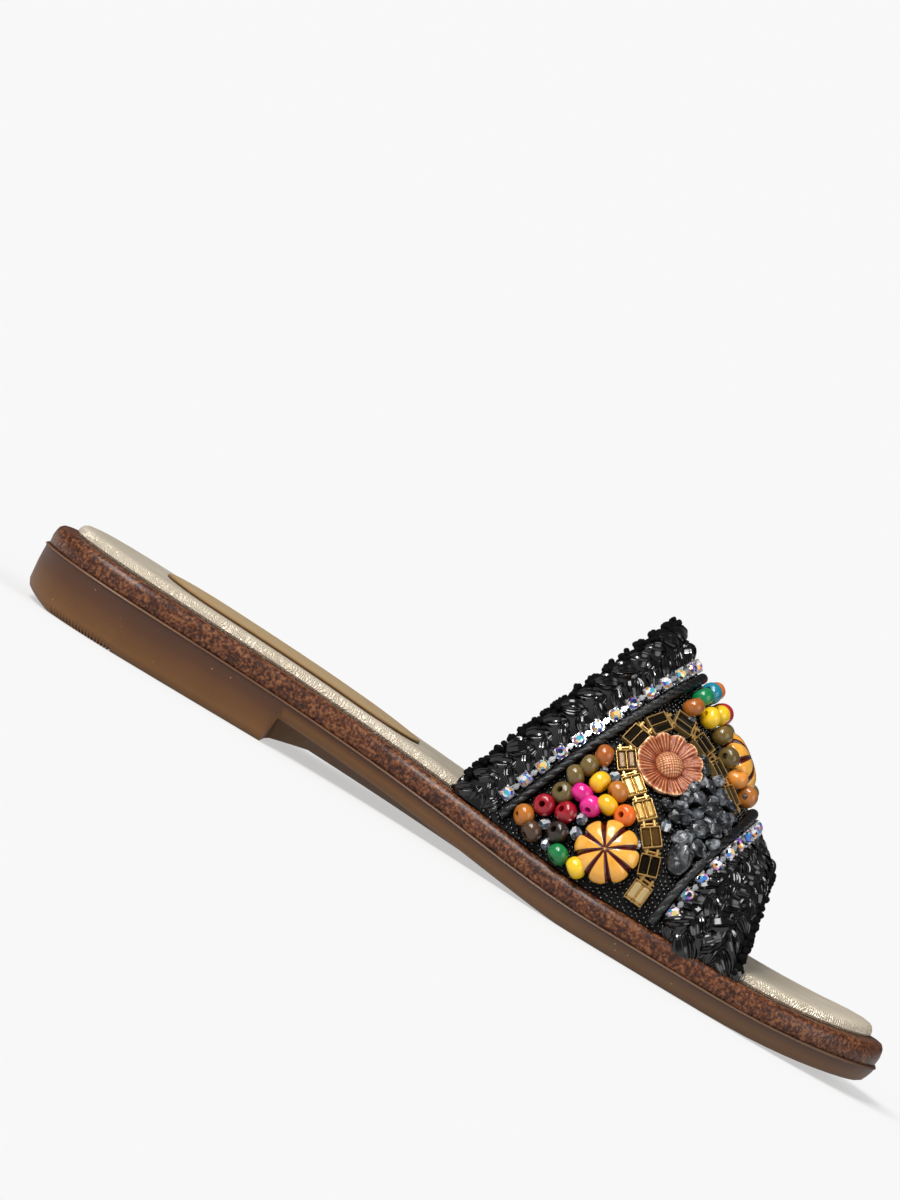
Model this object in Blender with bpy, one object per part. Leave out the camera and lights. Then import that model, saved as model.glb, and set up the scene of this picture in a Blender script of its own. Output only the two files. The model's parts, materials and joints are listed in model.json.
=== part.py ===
"""Slide sandal, left shoe, in metres. Toe +X, inner side -Y, up +Z, floor at z = 0.

The sole is three slabs on one outline. The strap is one hollow arched wall, and every ornament
is placed on it by its share of the way forward (along) and up the arch (rise).
"""

from collections import namedtuple
from math import asin, ceil, cos, pi, radians, sin

import bmesh
import bpy
from mathutils import Matrix, Vector

# Sole
LENGTH = 0.250
BALL_WIDTH = 0.087
HEEL_WIDTH = 0.061
HEEL_ROUND = 0.033
TOE_ROUND_INNER = 0.046
TOE_ROUND_OUTER = 0.066
TIP_SHIFT = 0.008
HEEL_HEIGHT = 0.0144
FOREFOOT_THICKNESS = 0.0055
HEEL_BREAST = 0.0738
BREAST_LEAN = 0.0010
WAIST_LIFT = 0.00735
FLAT_FROM = 0.160
FLAT_TO = 0.205
TOE_SPRING = 0.0035
STRIKE_LENGTH = 0.0077
STRIKE_RISE = 0.0020
SHANK_SHARE = 0.55
RAMP_LENGTH = 0.010
SIDE_DRAFT = 0.0011
BOTTOM_ROUND = 0.0030
GROOVE_COUNT = 7
GROOVE_DEPTH = 0.0008
GROOVE_WIDTH = 0.0016
GROOVE_MARGIN = 0.009

# Welt, insole and heel sock
CLEAR = 0.0003
ORNAMENT_CLEAR = 0.0004
WELT_INSET = 0.0008
WELT_THICKNESS = 0.0054
WELT_ROUND = 0.0018
INSOLE_INSET = 0.0056
INSOLE_THICKNESS = 0.0028
INSOLE_ROUND = 0.0013
SOCK_FROM = 0.031
SOCK_TO = 0.108
SOCK_WIDTH = 0.036
SOCK_THICKNESS = 0.0008

# Strap
STRAP_BACK = 0.122
STRAP_FRONT = 0.207
STRAP_INSET = 0.0048
RIDGE_BACK = 0.147
RIDGE_FRONT = 0.2005
RIDGE_BACK_HEIGHT = 0.0770
RIDGE_FRONT_HEIGHT = 0.0345
RIDGE_SHIFT = 0.002
WALL = 0.0022
BORDER_RAISE = 0.0020

# Trimmings
CORD_RADIUS = 0.0013
CUP_PITCH = 0.0056
CUP_WIDTH = 0.0032
CUP_HEIGHT = 0.0024
CUP_LINK_WIDTH = 0.0010
LINK_PITCH = 0.0072
LINK_WIDTH = 0.0048
LINK_HEIGHT = 0.0022
FLOWER_RADIUS = 0.0080
FLOWER_HEIGHT = 0.0016
FLOWER_DOME_RADIUS = 0.0033
FLOWER_PETALS = 8
MELON_RADIUS = 0.0081
MELON_HEIGHT = 0.0058
MELON_LOBES = 8
BEAD_DIAMETER = 0.0056
BEAD_LENGTH = 0.0050
CHIP_SIZE = 0.0042
CHIP_HEIGHT = 0.0022
BACKING = 0.0008

# Outline of the sole: shares of the heel width and ball width, and the outward shift of its middle
Plan = namedtuple("Plan", "along heel ball shift")
PLAN = [
    Plan(0.00, 1.00, 0.00, 0.000),
    Plan(0.14, 1.00, 0.00, 0.000),
    Plan(0.28, 0.96, 0.00, 0.012),
    Plan(0.42, 0.62, 0.24, 0.036),
    Plan(0.54, 0.26, 0.64, 0.026),
    Plan(0.66, 0.02, 0.98, 0.004),
    Plan(0.74, 0.00, 1.00, -0.004),
    Plan(0.86, 0.00, 0.96, -0.012),
    Plan(1.00, 0.00, 0.92, -0.020),
]

# Side of the sole: seat is a share of the heel's extra height, under a share of the waist lift
Side = namedtuple("Side", "along seat under")
SIDE = [
    Side(0.000, 1.000, 1.00),
    Side(0.150, 0.900, 1.00),
    Side(0.295, 0.755, 1.00),
    Side(0.400, 0.560, 0.76),
    Side(0.500, 0.330, 0.44),
    Side(0.580, 0.120, 0.16),
    Side(0.640, 0.020, 0.00),
    Side(0.700, 0.000, 0.00),
    Side(1.000, 0.000, 0.00),
]

# Thickness across a raised border, from its free edge: share of the border's raise
Border = namedtuple("Border", "across raise_share")
BORDER = [
    Border(0.00, 0.45),
    Border(0.18, 0.95),
    Border(0.50, 1.00),
    Border(0.85, 0.85),
    Border(1.00, 0.00),
]

# Backings of the inner side's clusters: along from start to end at each rise
Backing = namedtuple("Backing", "rise start end")
BEAD_BACKING = [
    Backing(0.030, 0.218, 0.40),
    Backing(0.075, 0.218, 0.40),
    Backing(0.110, 0.218, 0.34),
    Backing(0.200, 0.218, 0.33),
    Backing(0.300, 0.218, 0.33),
    Backing(0.390, 0.218, 0.36),
    Backing(0.450, 0.218, 0.33),
    Backing(0.530, 0.218, 0.26),
]
CHIP_BACKING = [
    Backing(0.400, 0.60, 0.680),
    Backing(0.520, 0.57, 0.688),
    Backing(0.640, 0.53, 0.697),
    Backing(0.760, 0.53, 0.708),
    Backing(0.850, 0.55, 0.710),
]

# Barrel beads of the inner side, and the turn of each in degrees
Bead = namedtuple("Bead", "along rise turn")
SIDE_BEADS = [
    Bead(0.236, 0.515, 35), Bead(0.236, 0.430, 20), Bead(0.235, 0.345, 60),
    Bead(0.296, 0.445, 0), Bead(0.352, 0.430, 80), Bead(0.235, 0.260, 10),
    Bead(0.290, 0.350, 40), Bead(0.340, 0.358, 70), Bead(0.232, 0.175, 90),
    Bead(0.290, 0.255, 20), Bead(0.226, 0.090, 45), Bead(0.288, 0.075, 75),
    Bead(0.300, 0.160, 15), Bead(0.370, 0.060, 80),
]

# Barrel beads of the middle, across in shares of the strap's half turn from its ridge
RidgeBead = namedtuple("RidgeBead", "along across turn")
RIDGE_BEADS = [
    RidgeBead(0.287, 0.000, 20), RidgeBead(0.375, 0.000, 70),
    RidgeBead(0.285, 0.095, 10), RidgeBead(0.285, -0.095, 60),
    RidgeBead(0.372, 0.100, 85), RidgeBead(0.372, -0.100, 30),
    RidgeBead(0.283, 0.190, 45), RidgeBead(0.283, -0.190, 15),
    RidgeBead(0.440, 0.165, 0), RidgeBead(0.440, -0.165, 0),
]
RIDGE_BACKING = [
    Backing(-0.205, 0.27, 0.31),
    Backing(-0.160, 0.27, 0.46),
    Backing(-0.100, 0.27, 0.39),
    Backing(0.000, 0.27, 0.39),
    Backing(0.100, 0.27, 0.39),
    Backing(0.160, 0.27, 0.46),
    Backing(0.205, 0.27, 0.31),
]

# Stone chips of the inner side
Chip = namedtuple("Chip", "along rise turn")
CHIPS = [
    Chip(0.648, 0.440, 10), Chip(0.612, 0.530, 70), Chip(0.665, 0.565, 30),
    Chip(0.575, 0.625, 50), Chip(0.635, 0.655, 0), Chip(0.676, 0.710, 80),
    Chip(0.565, 0.730, 40), Chip(0.622, 0.765, 15), Chip(0.672, 0.810, 60),
]

# Path of the gold chain up, over and down the inner side
ChainPoint = namedtuple("ChainPoint", "along rise")
CHAIN = [
    ChainPoint(0.615, 0.060), ChainPoint(0.610, 0.210), ChainPoint(0.555, 0.390),
    ChainPoint(0.465, 0.490), ChainPoint(0.370, 0.535), ChainPoint(0.285, 0.585),
    ChainPoint(0.254, 0.660), ChainPoint(0.264, 0.760), ChainPoint(0.306, 0.850),
    ChainPoint(0.390, 0.885), ChainPoint(0.500, 0.905), ChainPoint(0.600, 0.910),
    ChainPoint(0.690, 0.905),
]

# Alongs of the plain field's sections
FIELD_ALONGS = (0.30, 0.46, 0.62)

# Rows over the arch, each with its along at the foot of the strap and at the ridge
Row = namedtuple("Row", "foot ridge")
BACK_BORDER = Row(0.100, 0.146)
BACK_CHAIN = Row(0.122, 0.174)
BACK_CORD = Row(0.163, 0.225)
FRONT_CORD = Row(0.698, 0.763)
FRONT_CHAIN = Row(0.739, 0.813)
FRONT_BORDER = Row(0.760, 0.842)

# Places of the single ornaments
FLOWER_AT = (0.405, 0.716)
SIDE_MELON_AT = (0.470, 0.215)
RIDGE_MELON_ALONG = 0.560

# How finely curves are cut
STRAP_STEPS = 24
SOLE_STEP = 0.011
ROUND_STEPS = 7

for old in list(bpy.data.objects):
    bpy.data.objects.remove(old)


def curve(table, column, along):
    """Read a smooth curve through one column of a table."""
    rows = [(row[0], getattr(row, column)) for row in table]
    if along <= rows[0][0]:
        return rows[0][1]
    if along >= rows[-1][0]:
        return rows[-1][1]
    here = next(i for i in range(len(rows) - 1) if along <= rows[i + 1][0])
    slopes = []
    for i in (here, here + 1):
        before, after = rows[max(i - 1, 0)], rows[min(i + 1, len(rows) - 1)]
        slopes.append((after[1] - before[1]) / (after[0] - before[0]))
    (x0, y0), (x1, y1) = rows[here], rows[here + 1]
    span = x1 - x0
    t = (along - x0) / span
    rise = (3 - 2 * t) * t * t
    ends = span * (slopes[0] * t * (1 - t) ** 2 - slopes[1] * t * t * (1 - t))
    return y0 + (y1 - y0) * rise + ends


def rounding(x, radius, at_toe):
    """Share of the half width that is left at x in a round end."""
    into = (x - (LENGTH - radius)) if at_toe else (radius - x)
    if into <= 0:
        return 1.0
    return max(0.0, 1 - (into / radius) ** 2.1) ** (1 / 2.1)


def edge(x, side):
    """The sole's outline at x: side -1 is the inner edge, +1 the outer edge."""
    along = x / LENGTH
    width = HEEL_WIDTH * curve(PLAN, "heel", along) + BALL_WIDTH * curve(PLAN, "ball", along)
    middle = BALL_WIDTH * curve(PLAN, "shift", along)
    y = middle + side * width / 2
    if x < HEEL_ROUND:
        return middle + (y - middle) * rounding(x, HEEL_ROUND, False)
    radius = TOE_ROUND_INNER if side < 0 else TOE_ROUND_OUTER
    return -TIP_SHIFT + (y + TIP_SHIFT) * rounding(x, radius, True)


def toe_spring(x):
    """Rise of the toe in front of the flat forefoot."""
    ahead = max(0.0, x - FLAT_TO) / (LENGTH - FLAT_TO)
    return TOE_SPRING * ahead ** 2


def underside(x):
    """Height of the outsole's lower edge at x."""
    if x <= HEEL_BREAST:
        return STRIKE_RISE * max(0.0, 1 - x / STRIKE_LENGTH)
    return WAIST_LIFT * curve(SIDE, "under", x / LENGTH) + toe_spring(x)


def seat(x):
    """Height of the outsole's top at x."""
    extra = HEEL_HEIGHT - FOREFOOT_THICKNESS
    return FOREFOOT_THICKNESS + extra * curve(SIDE, "seat", x / LENGTH) + toe_spring(x)


def welt_bottom(x):
    return seat(x) + CLEAR


def welt_top(x):
    return welt_bottom(x) + WELT_THICKNESS


def insole_bottom(x):
    return welt_top(x) + CLEAR


def insole_top(x):
    return insole_bottom(x) + INSOLE_THICKNESS


def stations(extra=()):
    """Places along the shoe, close together round both ends."""
    first = 4
    ends = [radians(first + (90 - first) * i / ROUND_STEPS) for i in range(ROUND_STEPS + 1)]
    heel = [HEEL_ROUND * (1 - cos(a)) for a in ends]
    toe = [LENGTH - TOE_ROUND_OUTER * (1 - cos(a)) for a in ends]
    count = ceil((toe[-1] - heel[-1]) / SOLE_STEP)
    middle = [heel[-1] + (toe[-1] - heel[-1]) * i / count for i in range(1, count)]
    middle = [x for x in middle if all(abs(x - e) > SOLE_STEP / 3 for e in extra)]
    return sorted(heel + toe + middle + list(extra))


def outline(places):
    """Closed outline: inner edge from heel to toe, then the outer edge back."""
    inner = [Vector((x, edge(x, -1))) for x in places]
    outer = [Vector((x, edge(x, 1))) for x in places]
    return inner + outer[::-1]


def inset(ring, distance):
    """The same outline moved inward by one distance."""
    moved = []
    for i, point in enumerate(ring):
        before = (point - ring[i - 1]).normalized()
        after = (ring[(i + 1) % len(ring)] - point).normalized()
        tangent = (before + after).normalized()
        inward = Vector((-tangent.y, tangent.x))
        moved.append(point + inward * distance / max(0.7, tangent.dot(after)))
    return moved


def finish(name, mesh, colour, roughness, metallic=0.0):
    """Make one node with its own material."""
    bmesh.ops.recalc_face_normals(mesh, faces=mesh.faces)
    data = bpy.data.meshes.new(name)
    mesh.to_mesh(data)
    mesh.free()
    node = bpy.data.objects.new(name, data)
    bpy.context.scene.collection.objects.link(node)
    material = bpy.data.materials.new(name + "_finish")
    material.use_nodes = True
    shader = material.node_tree.nodes["Principled BSDF"]
    shader.inputs["Base Color"].default_value = (*colour, 1.0)
    shader.inputs["Roughness"].default_value = roughness
    shader.inputs["Metallic"].default_value = metallic
    data.materials.append(material)
    data.shade_smooth()
    data.set_sharp_from_angle(angle=radians(40))
    return node


def slab(ring, levels, columns=(), column_height=None):
    """A closed slab: rings from the underside to the top, with caps that follow the shoe.

    Each level is an inset and a height function. Extra columns across the underside have
    their own height function of x and the share across.
    """
    mesh = bmesh.new()
    rings = []
    for distance, height in levels:
        moved = inset(ring, distance)
        rings.append([mesh.verts.new((p.x, p.y, height(r.x))) for p, r in zip(moved, ring)])
    count = len(ring)
    half = count // 2
    for lower, upper in zip(rings, rings[1:]):
        for i in range(count):
            j = (i + 1) % count
            mesh.faces.new((lower[i], lower[j], upper[j], upper[i]))
    top = rings[-1]
    for i in range(half - 1):
        mesh.faces.new((top[i], top[i + 1], top[count - 2 - i], top[count - 1 - i]))
    bottom = rings[0]
    rows = []
    for i in range(half):
        inner, outer = bottom[i], bottom[count - 1 - i]
        row = [inner]
        for share in columns if 0 < i < half - 1 else ():
            place = inner.co.lerp(outer.co, share)
            place.z = column_height(ring[i].x, share)
            row.append(mesh.verts.new(place))
        rows.append(row + [outer])
    for here, ahead in zip(rows, rows[1:]):
        if len(here) == len(ahead):
            for k in range(len(here) - 1):
                mesh.faces.new((here[k + 1], ahead[k + 1], ahead[k], here[k]))
        elif len(here) < len(ahead):
            mesh.faces.new((here[1], *ahead[::-1], here[0]))
        else:
            mesh.faces.new((ahead[0], *here, ahead[1]))
    return mesh


def shank_height(x, share):
    """Underside across the waist: a flat rib down the middle with a ramp at the breast."""
    middle = 0.3 < share < 0.7
    if x <= HEEL_BREAST or not middle:
        return underside(x)
    rib = underside(x) - toe_spring(x)
    drop = SHANK_SHARE * rib
    ramp = max(0.0, 1 - (x - HEEL_BREAST - BREAST_LEAN) / RAMP_LENGTH)
    return underside(x) - drop - ramp * (rib - drop) * 0.8


def cut_away(node, cutter):
    """Cut one solid from a node and drop the cutter."""
    change = node.modifiers.new("cut", "BOOLEAN")
    change.operation = "DIFFERENCE"
    change.solver = "EXACT"
    change.object = cutter
    bpy.context.view_layer.update()
    graph = bpy.context.evaluated_depsgraph_get()
    cut = bpy.data.meshes.new_from_object(node.evaluated_get(graph))
    node.modifiers.remove(change)
    node.data = cut
    bpy.data.objects.remove(cutter)


def make_outsole():
    """Moulded unit sole with its heel block, breast, shank rib and forefoot grooves."""
    places = stations((
        STRIKE_LENGTH, HEEL_BREAST, HEEL_BREAST + BREAST_LEAN,
        HEEL_BREAST + BREAST_LEAN + RAMP_LENGTH, FLAT_FROM, FLAT_TO,
    ))
    ring = outline(places)
    levels = [
        (SIDE_DRAFT + BOTTOM_ROUND, underside),
        (SIDE_DRAFT + BOTTOM_ROUND * 0.3, lambda x: underside(x) + BOTTOM_ROUND * 0.2),
        (SIDE_DRAFT, lambda x: underside(x) + BOTTOM_ROUND * 0.7),
        (0.0, seat),
    ]
    mesh = slab(ring, levels, (0.22, 0.38, 0.62, 0.78), shank_height)
    node = finish("outsole", mesh, (0.155, 0.082, 0.045), 0.45)
    cutter_mesh = bmesh.new()
    first, last = FLAT_FROM - 0.004, FLAT_TO + 0.016
    for i in range(GROOVE_COUNT):
        x = first + (last - first) * i / (GROOVE_COUNT - 1)
        low, high = edge(x, -1) + GROOVE_MARGIN, edge(x, 1) - GROOVE_MARGIN
        size = Matrix.Diagonal((GROOVE_WIDTH, high - low, GROOVE_DEPTH * 2, 1))
        place = Matrix.Translation((x, (low + high) / 2, underside(x)))
        bmesh.ops.create_cube(cutter_mesh, size=1, matrix=place @ size)
    cutter = finish("groove_cutter", cutter_mesh, (0.5, 0.5, 0.5), 0.5)
    cutter.hide_render = True
    cutter.display_type = "WIRE"
    cut_away(node, cutter)


def make_welt():
    """Burnished leather rand and board, rounded along its top edge."""
    places = stations((HEEL_BREAST,))
    levels = [
        (WELT_INSET, welt_bottom),
        (WELT_INSET, lambda x: welt_top(x) - WELT_ROUND),
        (WELT_INSET + WELT_ROUND * 0.3, lambda x: welt_top(x) - WELT_ROUND * 0.3),
        (WELT_INSET + WELT_ROUND, welt_top),
    ]
    finish("welt", slab(outline(places), levels), (0.13, 0.045, 0.018), 0.35)


def make_insole():
    """Padded sock with its side turned down."""
    places = stations((HEEL_BREAST,))
    levels = [
        (INSOLE_INSET, insole_bottom),
        (INSOLE_INSET, lambda x: insole_top(x) - INSOLE_ROUND),
        (INSOLE_INSET + INSOLE_ROUND * 0.3, lambda x: insole_top(x) - INSOLE_ROUND * 0.3),
        (INSOLE_INSET + INSOLE_ROUND, insole_top),
    ]
    finish("insole", slab(outline(places), levels), (0.62, 0.47, 0.30), 0.4)


def make_heel_sock():
    """Thin pad with round ends on the heel of the insole."""
    radius = SOCK_WIDTH / 2
    middle = BALL_WIDTH * curve(PLAN, "shift", SOCK_FROM / LENGTH)
    angles = [radians(12 + 78 * i / 4) for i in range(5)]
    back = [(SOCK_FROM + radius * (1 - cos(a)), radius * sin(a)) for a in angles]
    front = [(SOCK_TO - radius * (1 - cos(a)), radius * sin(a)) for a in angles]
    centre = [((back[-1][0] + front[-1][0]) / 2, radius)]
    places = back + centre + front[::-1]
    ring = [Vector((x, middle - y)) for x, y in places]
    ring += [Vector((x, middle + y)) for x, y in places[::-1]]
    levels = [
        (0.0, lambda x: insole_top(x) + CLEAR),
        (0.0, lambda x: insole_top(x) + CLEAR + SOCK_THICKNESS * 0.6),
        (SOCK_THICKNESS * 0.5, lambda x: insole_top(x) + CLEAR + SOCK_THICKNESS),
    ]
    finish("heel_sock", slab(ring, levels), (0.72, 0.42, 0.16), 0.4)


def strap_point(along, turn, lift=0.0):
    """A point on the strap: along from back to front, turn 0 to 1 over the arch from the inner side."""
    def lining(along, turn):
        foot_x = STRAP_BACK + (STRAP_FRONT - STRAP_BACK) * along
        ridge_x = RIDGE_BACK + (RIDGE_FRONT - RIDGE_BACK) * along
        ridge_z = RIDGE_BACK_HEIGHT + (RIDGE_FRONT_HEIGHT - RIDGE_BACK_HEIGHT) * along
        inner = edge(foot_x, -1) + STRAP_INSET
        outer = edge(foot_x, 1) - STRAP_INSET
        foot_z = welt_top(foot_x) + CLEAR
        up, over = sin(pi * turn), cos(pi * turn)
        middle = (inner + outer) / 2 - RIDGE_SHIFT * up
        return Vector((
            foot_x + (ridge_x - foot_x) * up,
            middle - over * (outer - inner) / 2,
            foot_z + (ridge_z - foot_z) * up,
        ))
    here = lining(along, turn)
    step = 1e-3
    forward = lining(along + step, turn) - lining(along - step, turn)
    around = lining(along, turn + step) - lining(along, turn - step)
    out = forward.cross(around).normalized()
    return here + out * lift


def strap_frame(along, turn, lift, spin=0.0):
    """Matrix that stands a piece on the strap, its Z outward and its X forward, turned by spin."""
    place = strap_point(along, turn, lift)
    out = (strap_point(along, turn, lift + 0.01) - place).normalized()
    forward = strap_point(along + 0.01, turn, lift) - place
    forward = (forward - out * forward.dot(out)).normalized()
    across = out.cross(forward)
    turned = Matrix((forward, across, out)).transposed().to_4x4()
    return Matrix.Translation(place) @ turned @ Matrix.Rotation(radians(spin), 4, "Z")


def turn_of(rise, side):
    """Turn of a rise on the inner (-1) or outer (+1) side."""
    turn = asin(rise) / pi
    return turn if side < 0 else 1 - turn


def row_along(row, turn):
    """Along of a row over the arch at one turn."""
    return row.foot + (row.ridge - row.foot) * sin(pi * turn) ** 2


def make_upper():
    """One hollow wall over the instep, open at front and back, with raised borders."""
    mesh = bmesh.new()
    turns = [i / STRAP_STEPS for i in range(STRAP_STEPS + 1)]
    rows = []
    for border in BORDER:
        alongs = [row_along(BACK_BORDER, t) * border.across for t in turns]
        rows.append((alongs, border.raise_share))
    for along in FIELD_ALONGS:
        rows.append(([along] * len(turns), 0.0))
    for border in BORDER[::-1]:
        alongs = [1 - (1 - row_along(FRONT_BORDER, t)) * border.across for t in turns]
        rows.append((alongs, border.raise_share))
    outside, inside = [], []
    for alongs, share in rows:
        lift = WALL + BORDER_RAISE * share
        outside.append([mesh.verts.new(strap_point(a, t, lift)) for a, t in zip(alongs, turns)])
        inside.append([mesh.verts.new(strap_point(a, t)) for a, t in zip(alongs, turns)])
    last = len(rows) - 1
    for grid in (outside, inside):
        for a, b in zip(grid, grid[1:]):
            for k in range(STRAP_STEPS):
                mesh.faces.new((a[k], a[k + 1], b[k + 1], b[k]))
    for i in (0, last):
        for k in range(STRAP_STEPS):
            mesh.faces.new((outside[i][k], outside[i][k + 1], inside[i][k + 1], inside[i][k]))
    for k in (0, STRAP_STEPS):
        for i in range(last):
            mesh.faces.new((outside[i][k], outside[i + 1][k], inside[i + 1][k], inside[i][k]))
    finish("upper", mesh, (0.012, 0.012, 0.013), 0.35)


def sweep(path, sections):
    """A closed solid along a path of frames, one section of (across, up) points for each frame."""
    mesh = bmesh.new()
    rings = []
    for frame, section in zip(path, sections):
        rings.append([mesh.verts.new(frame @ Vector((0, across, up))) for across, up in section])
    count = len(rings[0])
    for a, b in zip(rings, rings[1:]):
        for k in range(count):
            m = (k + 1) % count
            mesh.faces.new((a[k], a[m], b[m], b[k]))
    mesh.faces.new(rings[0])
    mesh.faces.new(rings[-1])
    return mesh


def path_frames(points, outs):
    """Frames along a row of points: X follows the path and Z points outward."""
    frames = []
    for i, point in enumerate(points):
        ahead = points[min(i + 1, len(points) - 1)] - points[max(i - 1, 0)]
        out = outs[i]
        forward = (ahead - out * ahead.dot(out)).normalized()
        across = out.cross(forward)
        frame = Matrix((forward, across, out)).transposed().to_4x4()
        frame.translation = point
        frames.append(frame)
    return frames


def even_path(shares, lift, lengths):
    """Points and outward directions at given lengths along a path of (along, turn) shares."""
    points = [strap_point(along, turn, lift) for along, turn in shares]
    run = [0.0]
    for a, b in zip(points, points[1:]):
        run.append(run[-1] + (b - a).length)
    found = []
    for length in lengths:
        i = next((k for k in range(len(run) - 2) if length <= run[k + 1]), len(run) - 2)
        t = (length - run[i]) / (run[i + 1] - run[i])
        along = shares[i][0] + (shares[i + 1][0] - shares[i][0]) * t
        turn = shares[i][1] + (shares[i + 1][1] - shares[i][1]) * t
        found.append((along, turn))
    places = [strap_point(along, turn, lift) for along, turn in found]
    outs = [(strap_point(a, t, lift + 0.01) - p).normalized() for (a, t), p in zip(found, places)]
    return places, outs, run[-1]


def arch_shares(row, first, last):
    """Shares of along and turn of one row over the arch."""
    steps = STRAP_STEPS * 2
    turns = [first + (last - first) * i / steps for i in range(steps + 1)]
    return [(row_along(row, turn), turn) for turn in turns]


def make_cord(name, row):
    """Round cord over the arch."""
    lift = WALL + ORNAMENT_CLEAR + CORD_RADIUS * 1.02
    shares = arch_shares(row, 0.012, 0.988)
    length = even_path(shares, lift, [0.0])[2]
    steps = STRAP_STEPS
    places, outs, _ = even_path(shares, lift, [length * i / steps for i in range(steps + 1)])
    sides = 6
    angles = [2 * pi * (k + 0.5) / sides for k in range(sides)]
    ring = [(CORD_RADIUS * cos(a), CORD_RADIUS * sin(a)) for a in angles]
    mesh = sweep(path_frames(places, outs), [ring] * (steps + 1))
    finish(name, mesh, (0.01, 0.01, 0.011), 0.4)


def box_section(width, height):
    return [(-width / 2, 0.0), (width / 2, 0.0), (width / 2, height), (-width / 2, height)]


def make_cup_chain(name, row):
    """Row of square cups joined by narrow links."""
    lift = WALL + ORNAMENT_CLEAR
    shares = arch_shares(row, 0.02, 0.98)
    length = even_path(shares, lift, [0.0])[2]
    cups = int(length / CUP_PITCH)
    start = (length - cups * CUP_PITCH) / 2
    wide = box_section(CUP_WIDTH, CUP_HEIGHT)
    narrow = box_section(CUP_LINK_WIDTH, CUP_HEIGHT * 0.4)
    lengths, sections = [], []
    for i in range(cups):
        middle = start + (i + 0.5) * CUP_PITCH
        lengths += [middle - CUP_WIDTH / 2, middle + CUP_WIDTH / 2, middle + CUP_PITCH / 2]
        sections += [wide, wide, narrow]
    places, outs, _ = even_path(shares, lift, lengths[:-1])
    mesh = sweep(path_frames(places, outs), sections[:-1])
    finish(name, mesh, (0.62, 0.62, 0.66), 0.2, 1.0)


def smooth_chain(side):
    """Shares along the gold chain's path, cut finely."""
    knots = [(p.along, turn_of(p.rise, side)) for p in CHAIN]
    shares = []
    for i in range(len(knots) - 1):
        a, b = knots[max(i - 1, 0)], knots[i]
        c, d = knots[i + 1], knots[min(i + 2, len(knots) - 1)]
        for k in range(6):
            t = k / 6
            shares.append(tuple(
                b[n] + 0.5 * t * (c[n] - a[n] + t * (2 * a[n] - 5 * b[n] + 4 * c[n] - d[n]
                + t * (3 * (b[n] - c[n]) + d[n] - a[n]))) for n in (0, 1)
            ))
    return shares + [knots[-1]]


def make_gold_chain(name, side):
    """Arched chain of flat gold links."""
    lift = WALL + ORNAMENT_CLEAR
    shares = smooth_chain(side)
    length = even_path(shares, lift, [0.0])[2]
    links = int(length / LINK_PITCH)
    start = (length - links * LINK_PITCH) / 2
    half = LINK_PITCH * 0.36
    wide = box_section(LINK_WIDTH, LINK_HEIGHT)
    narrow = box_section(LINK_WIDTH * 0.35, LINK_HEIGHT * 0.5)
    lengths, sections = [], []
    for i in range(links):
        middle = start + (i + 0.5) * LINK_PITCH
        lengths += [middle - half, middle + half, middle + LINK_PITCH / 2]
        sections += [wide, wide, narrow]
    places, outs, _ = even_path(shares, lift, lengths[:-1])
    mesh = sweep(path_frames(places, outs), sections[:-1])
    finish(name, mesh, (0.75, 0.50, 0.16), 0.25, 1.0)


def make_flower(name, side):
    """Flat stamped flower with notched petals and a round middle."""
    frame = strap_frame(FLOWER_AT[0], turn_of(FLOWER_AT[1], side), WALL + ORNAMENT_CLEAR)
    mesh = bmesh.new()
    points = FLOWER_PETALS * 3
    rim = [1.0, 0.97, 0.84]

    def ring(scale, height):
        made = []
        for i in range(points):
            angle = 2 * pi * (i + 0.5) / points
            radius = FLOWER_RADIUS * scale * rim[i % 3]
            made.append(mesh.verts.new(frame @ Vector((radius * cos(angle), radius * sin(angle), height))))
        return made

    def dome(scale, height):
        made = []
        for i in range(points):
            angle = 2 * pi * (i + 0.5) / points
            radius = FLOWER_DOME_RADIUS * scale
            made.append(mesh.verts.new(frame @ Vector((radius * cos(angle), radius * sin(angle), height))))
        return made

    rings = [ring(0.94, 0.0), ring(1.0, FLOWER_HEIGHT * 0.6), dome(1.15, FLOWER_HEIGHT * 0.7)]
    rings += [dome(0.95, FLOWER_HEIGHT * 1.5), dome(0.5, FLOWER_HEIGHT * 1.8)]
    for a, b in zip(rings, rings[1:]):
        for k in range(points):
            m = (k + 1) % points
            mesh.faces.new((a[k], a[m], b[m], b[k]))
    mesh.faces.new(rings[0][::-1])
    mesh.faces.new(rings[-1])
    finish(name, mesh, (0.66, 0.27, 0.16), 0.35, 1.0)


def make_melon(name, along, turn):
    """Flattened round bead with deep grooves between its lobes."""
    frame = strap_frame(along, turn, WALL + ORNAMENT_CLEAR)
    mesh = bmesh.new()
    points = MELON_LOBES * 2
    profile = [(0.30, 0.00), (0.80, 0.10), (1.00, 0.45), (0.78, 0.84), (0.28, 1.00)]
    rings = []
    for out, up in profile:
        made = []
        for i in range(points):
            angle = 2 * pi * i / points
            groove = 1.0 if i % 2 else 0.88
            radius = MELON_RADIUS * out * groove
            height = MELON_HEIGHT * up
            made.append(mesh.verts.new(frame @ Vector((radius * cos(angle), radius * sin(angle), height))))
        rings.append(made)
    for a, b in zip(rings, rings[1:]):
        for k in range(points):
            m = (k + 1) % points
            mesh.faces.new((a[k], a[m], b[m], b[k]))
    mesh.faces.new(rings[0][::-1])
    mesh.faces.new(rings[-1])
    finish(name, mesh, (0.85, 0.42, 0.09), 0.25)


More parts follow.
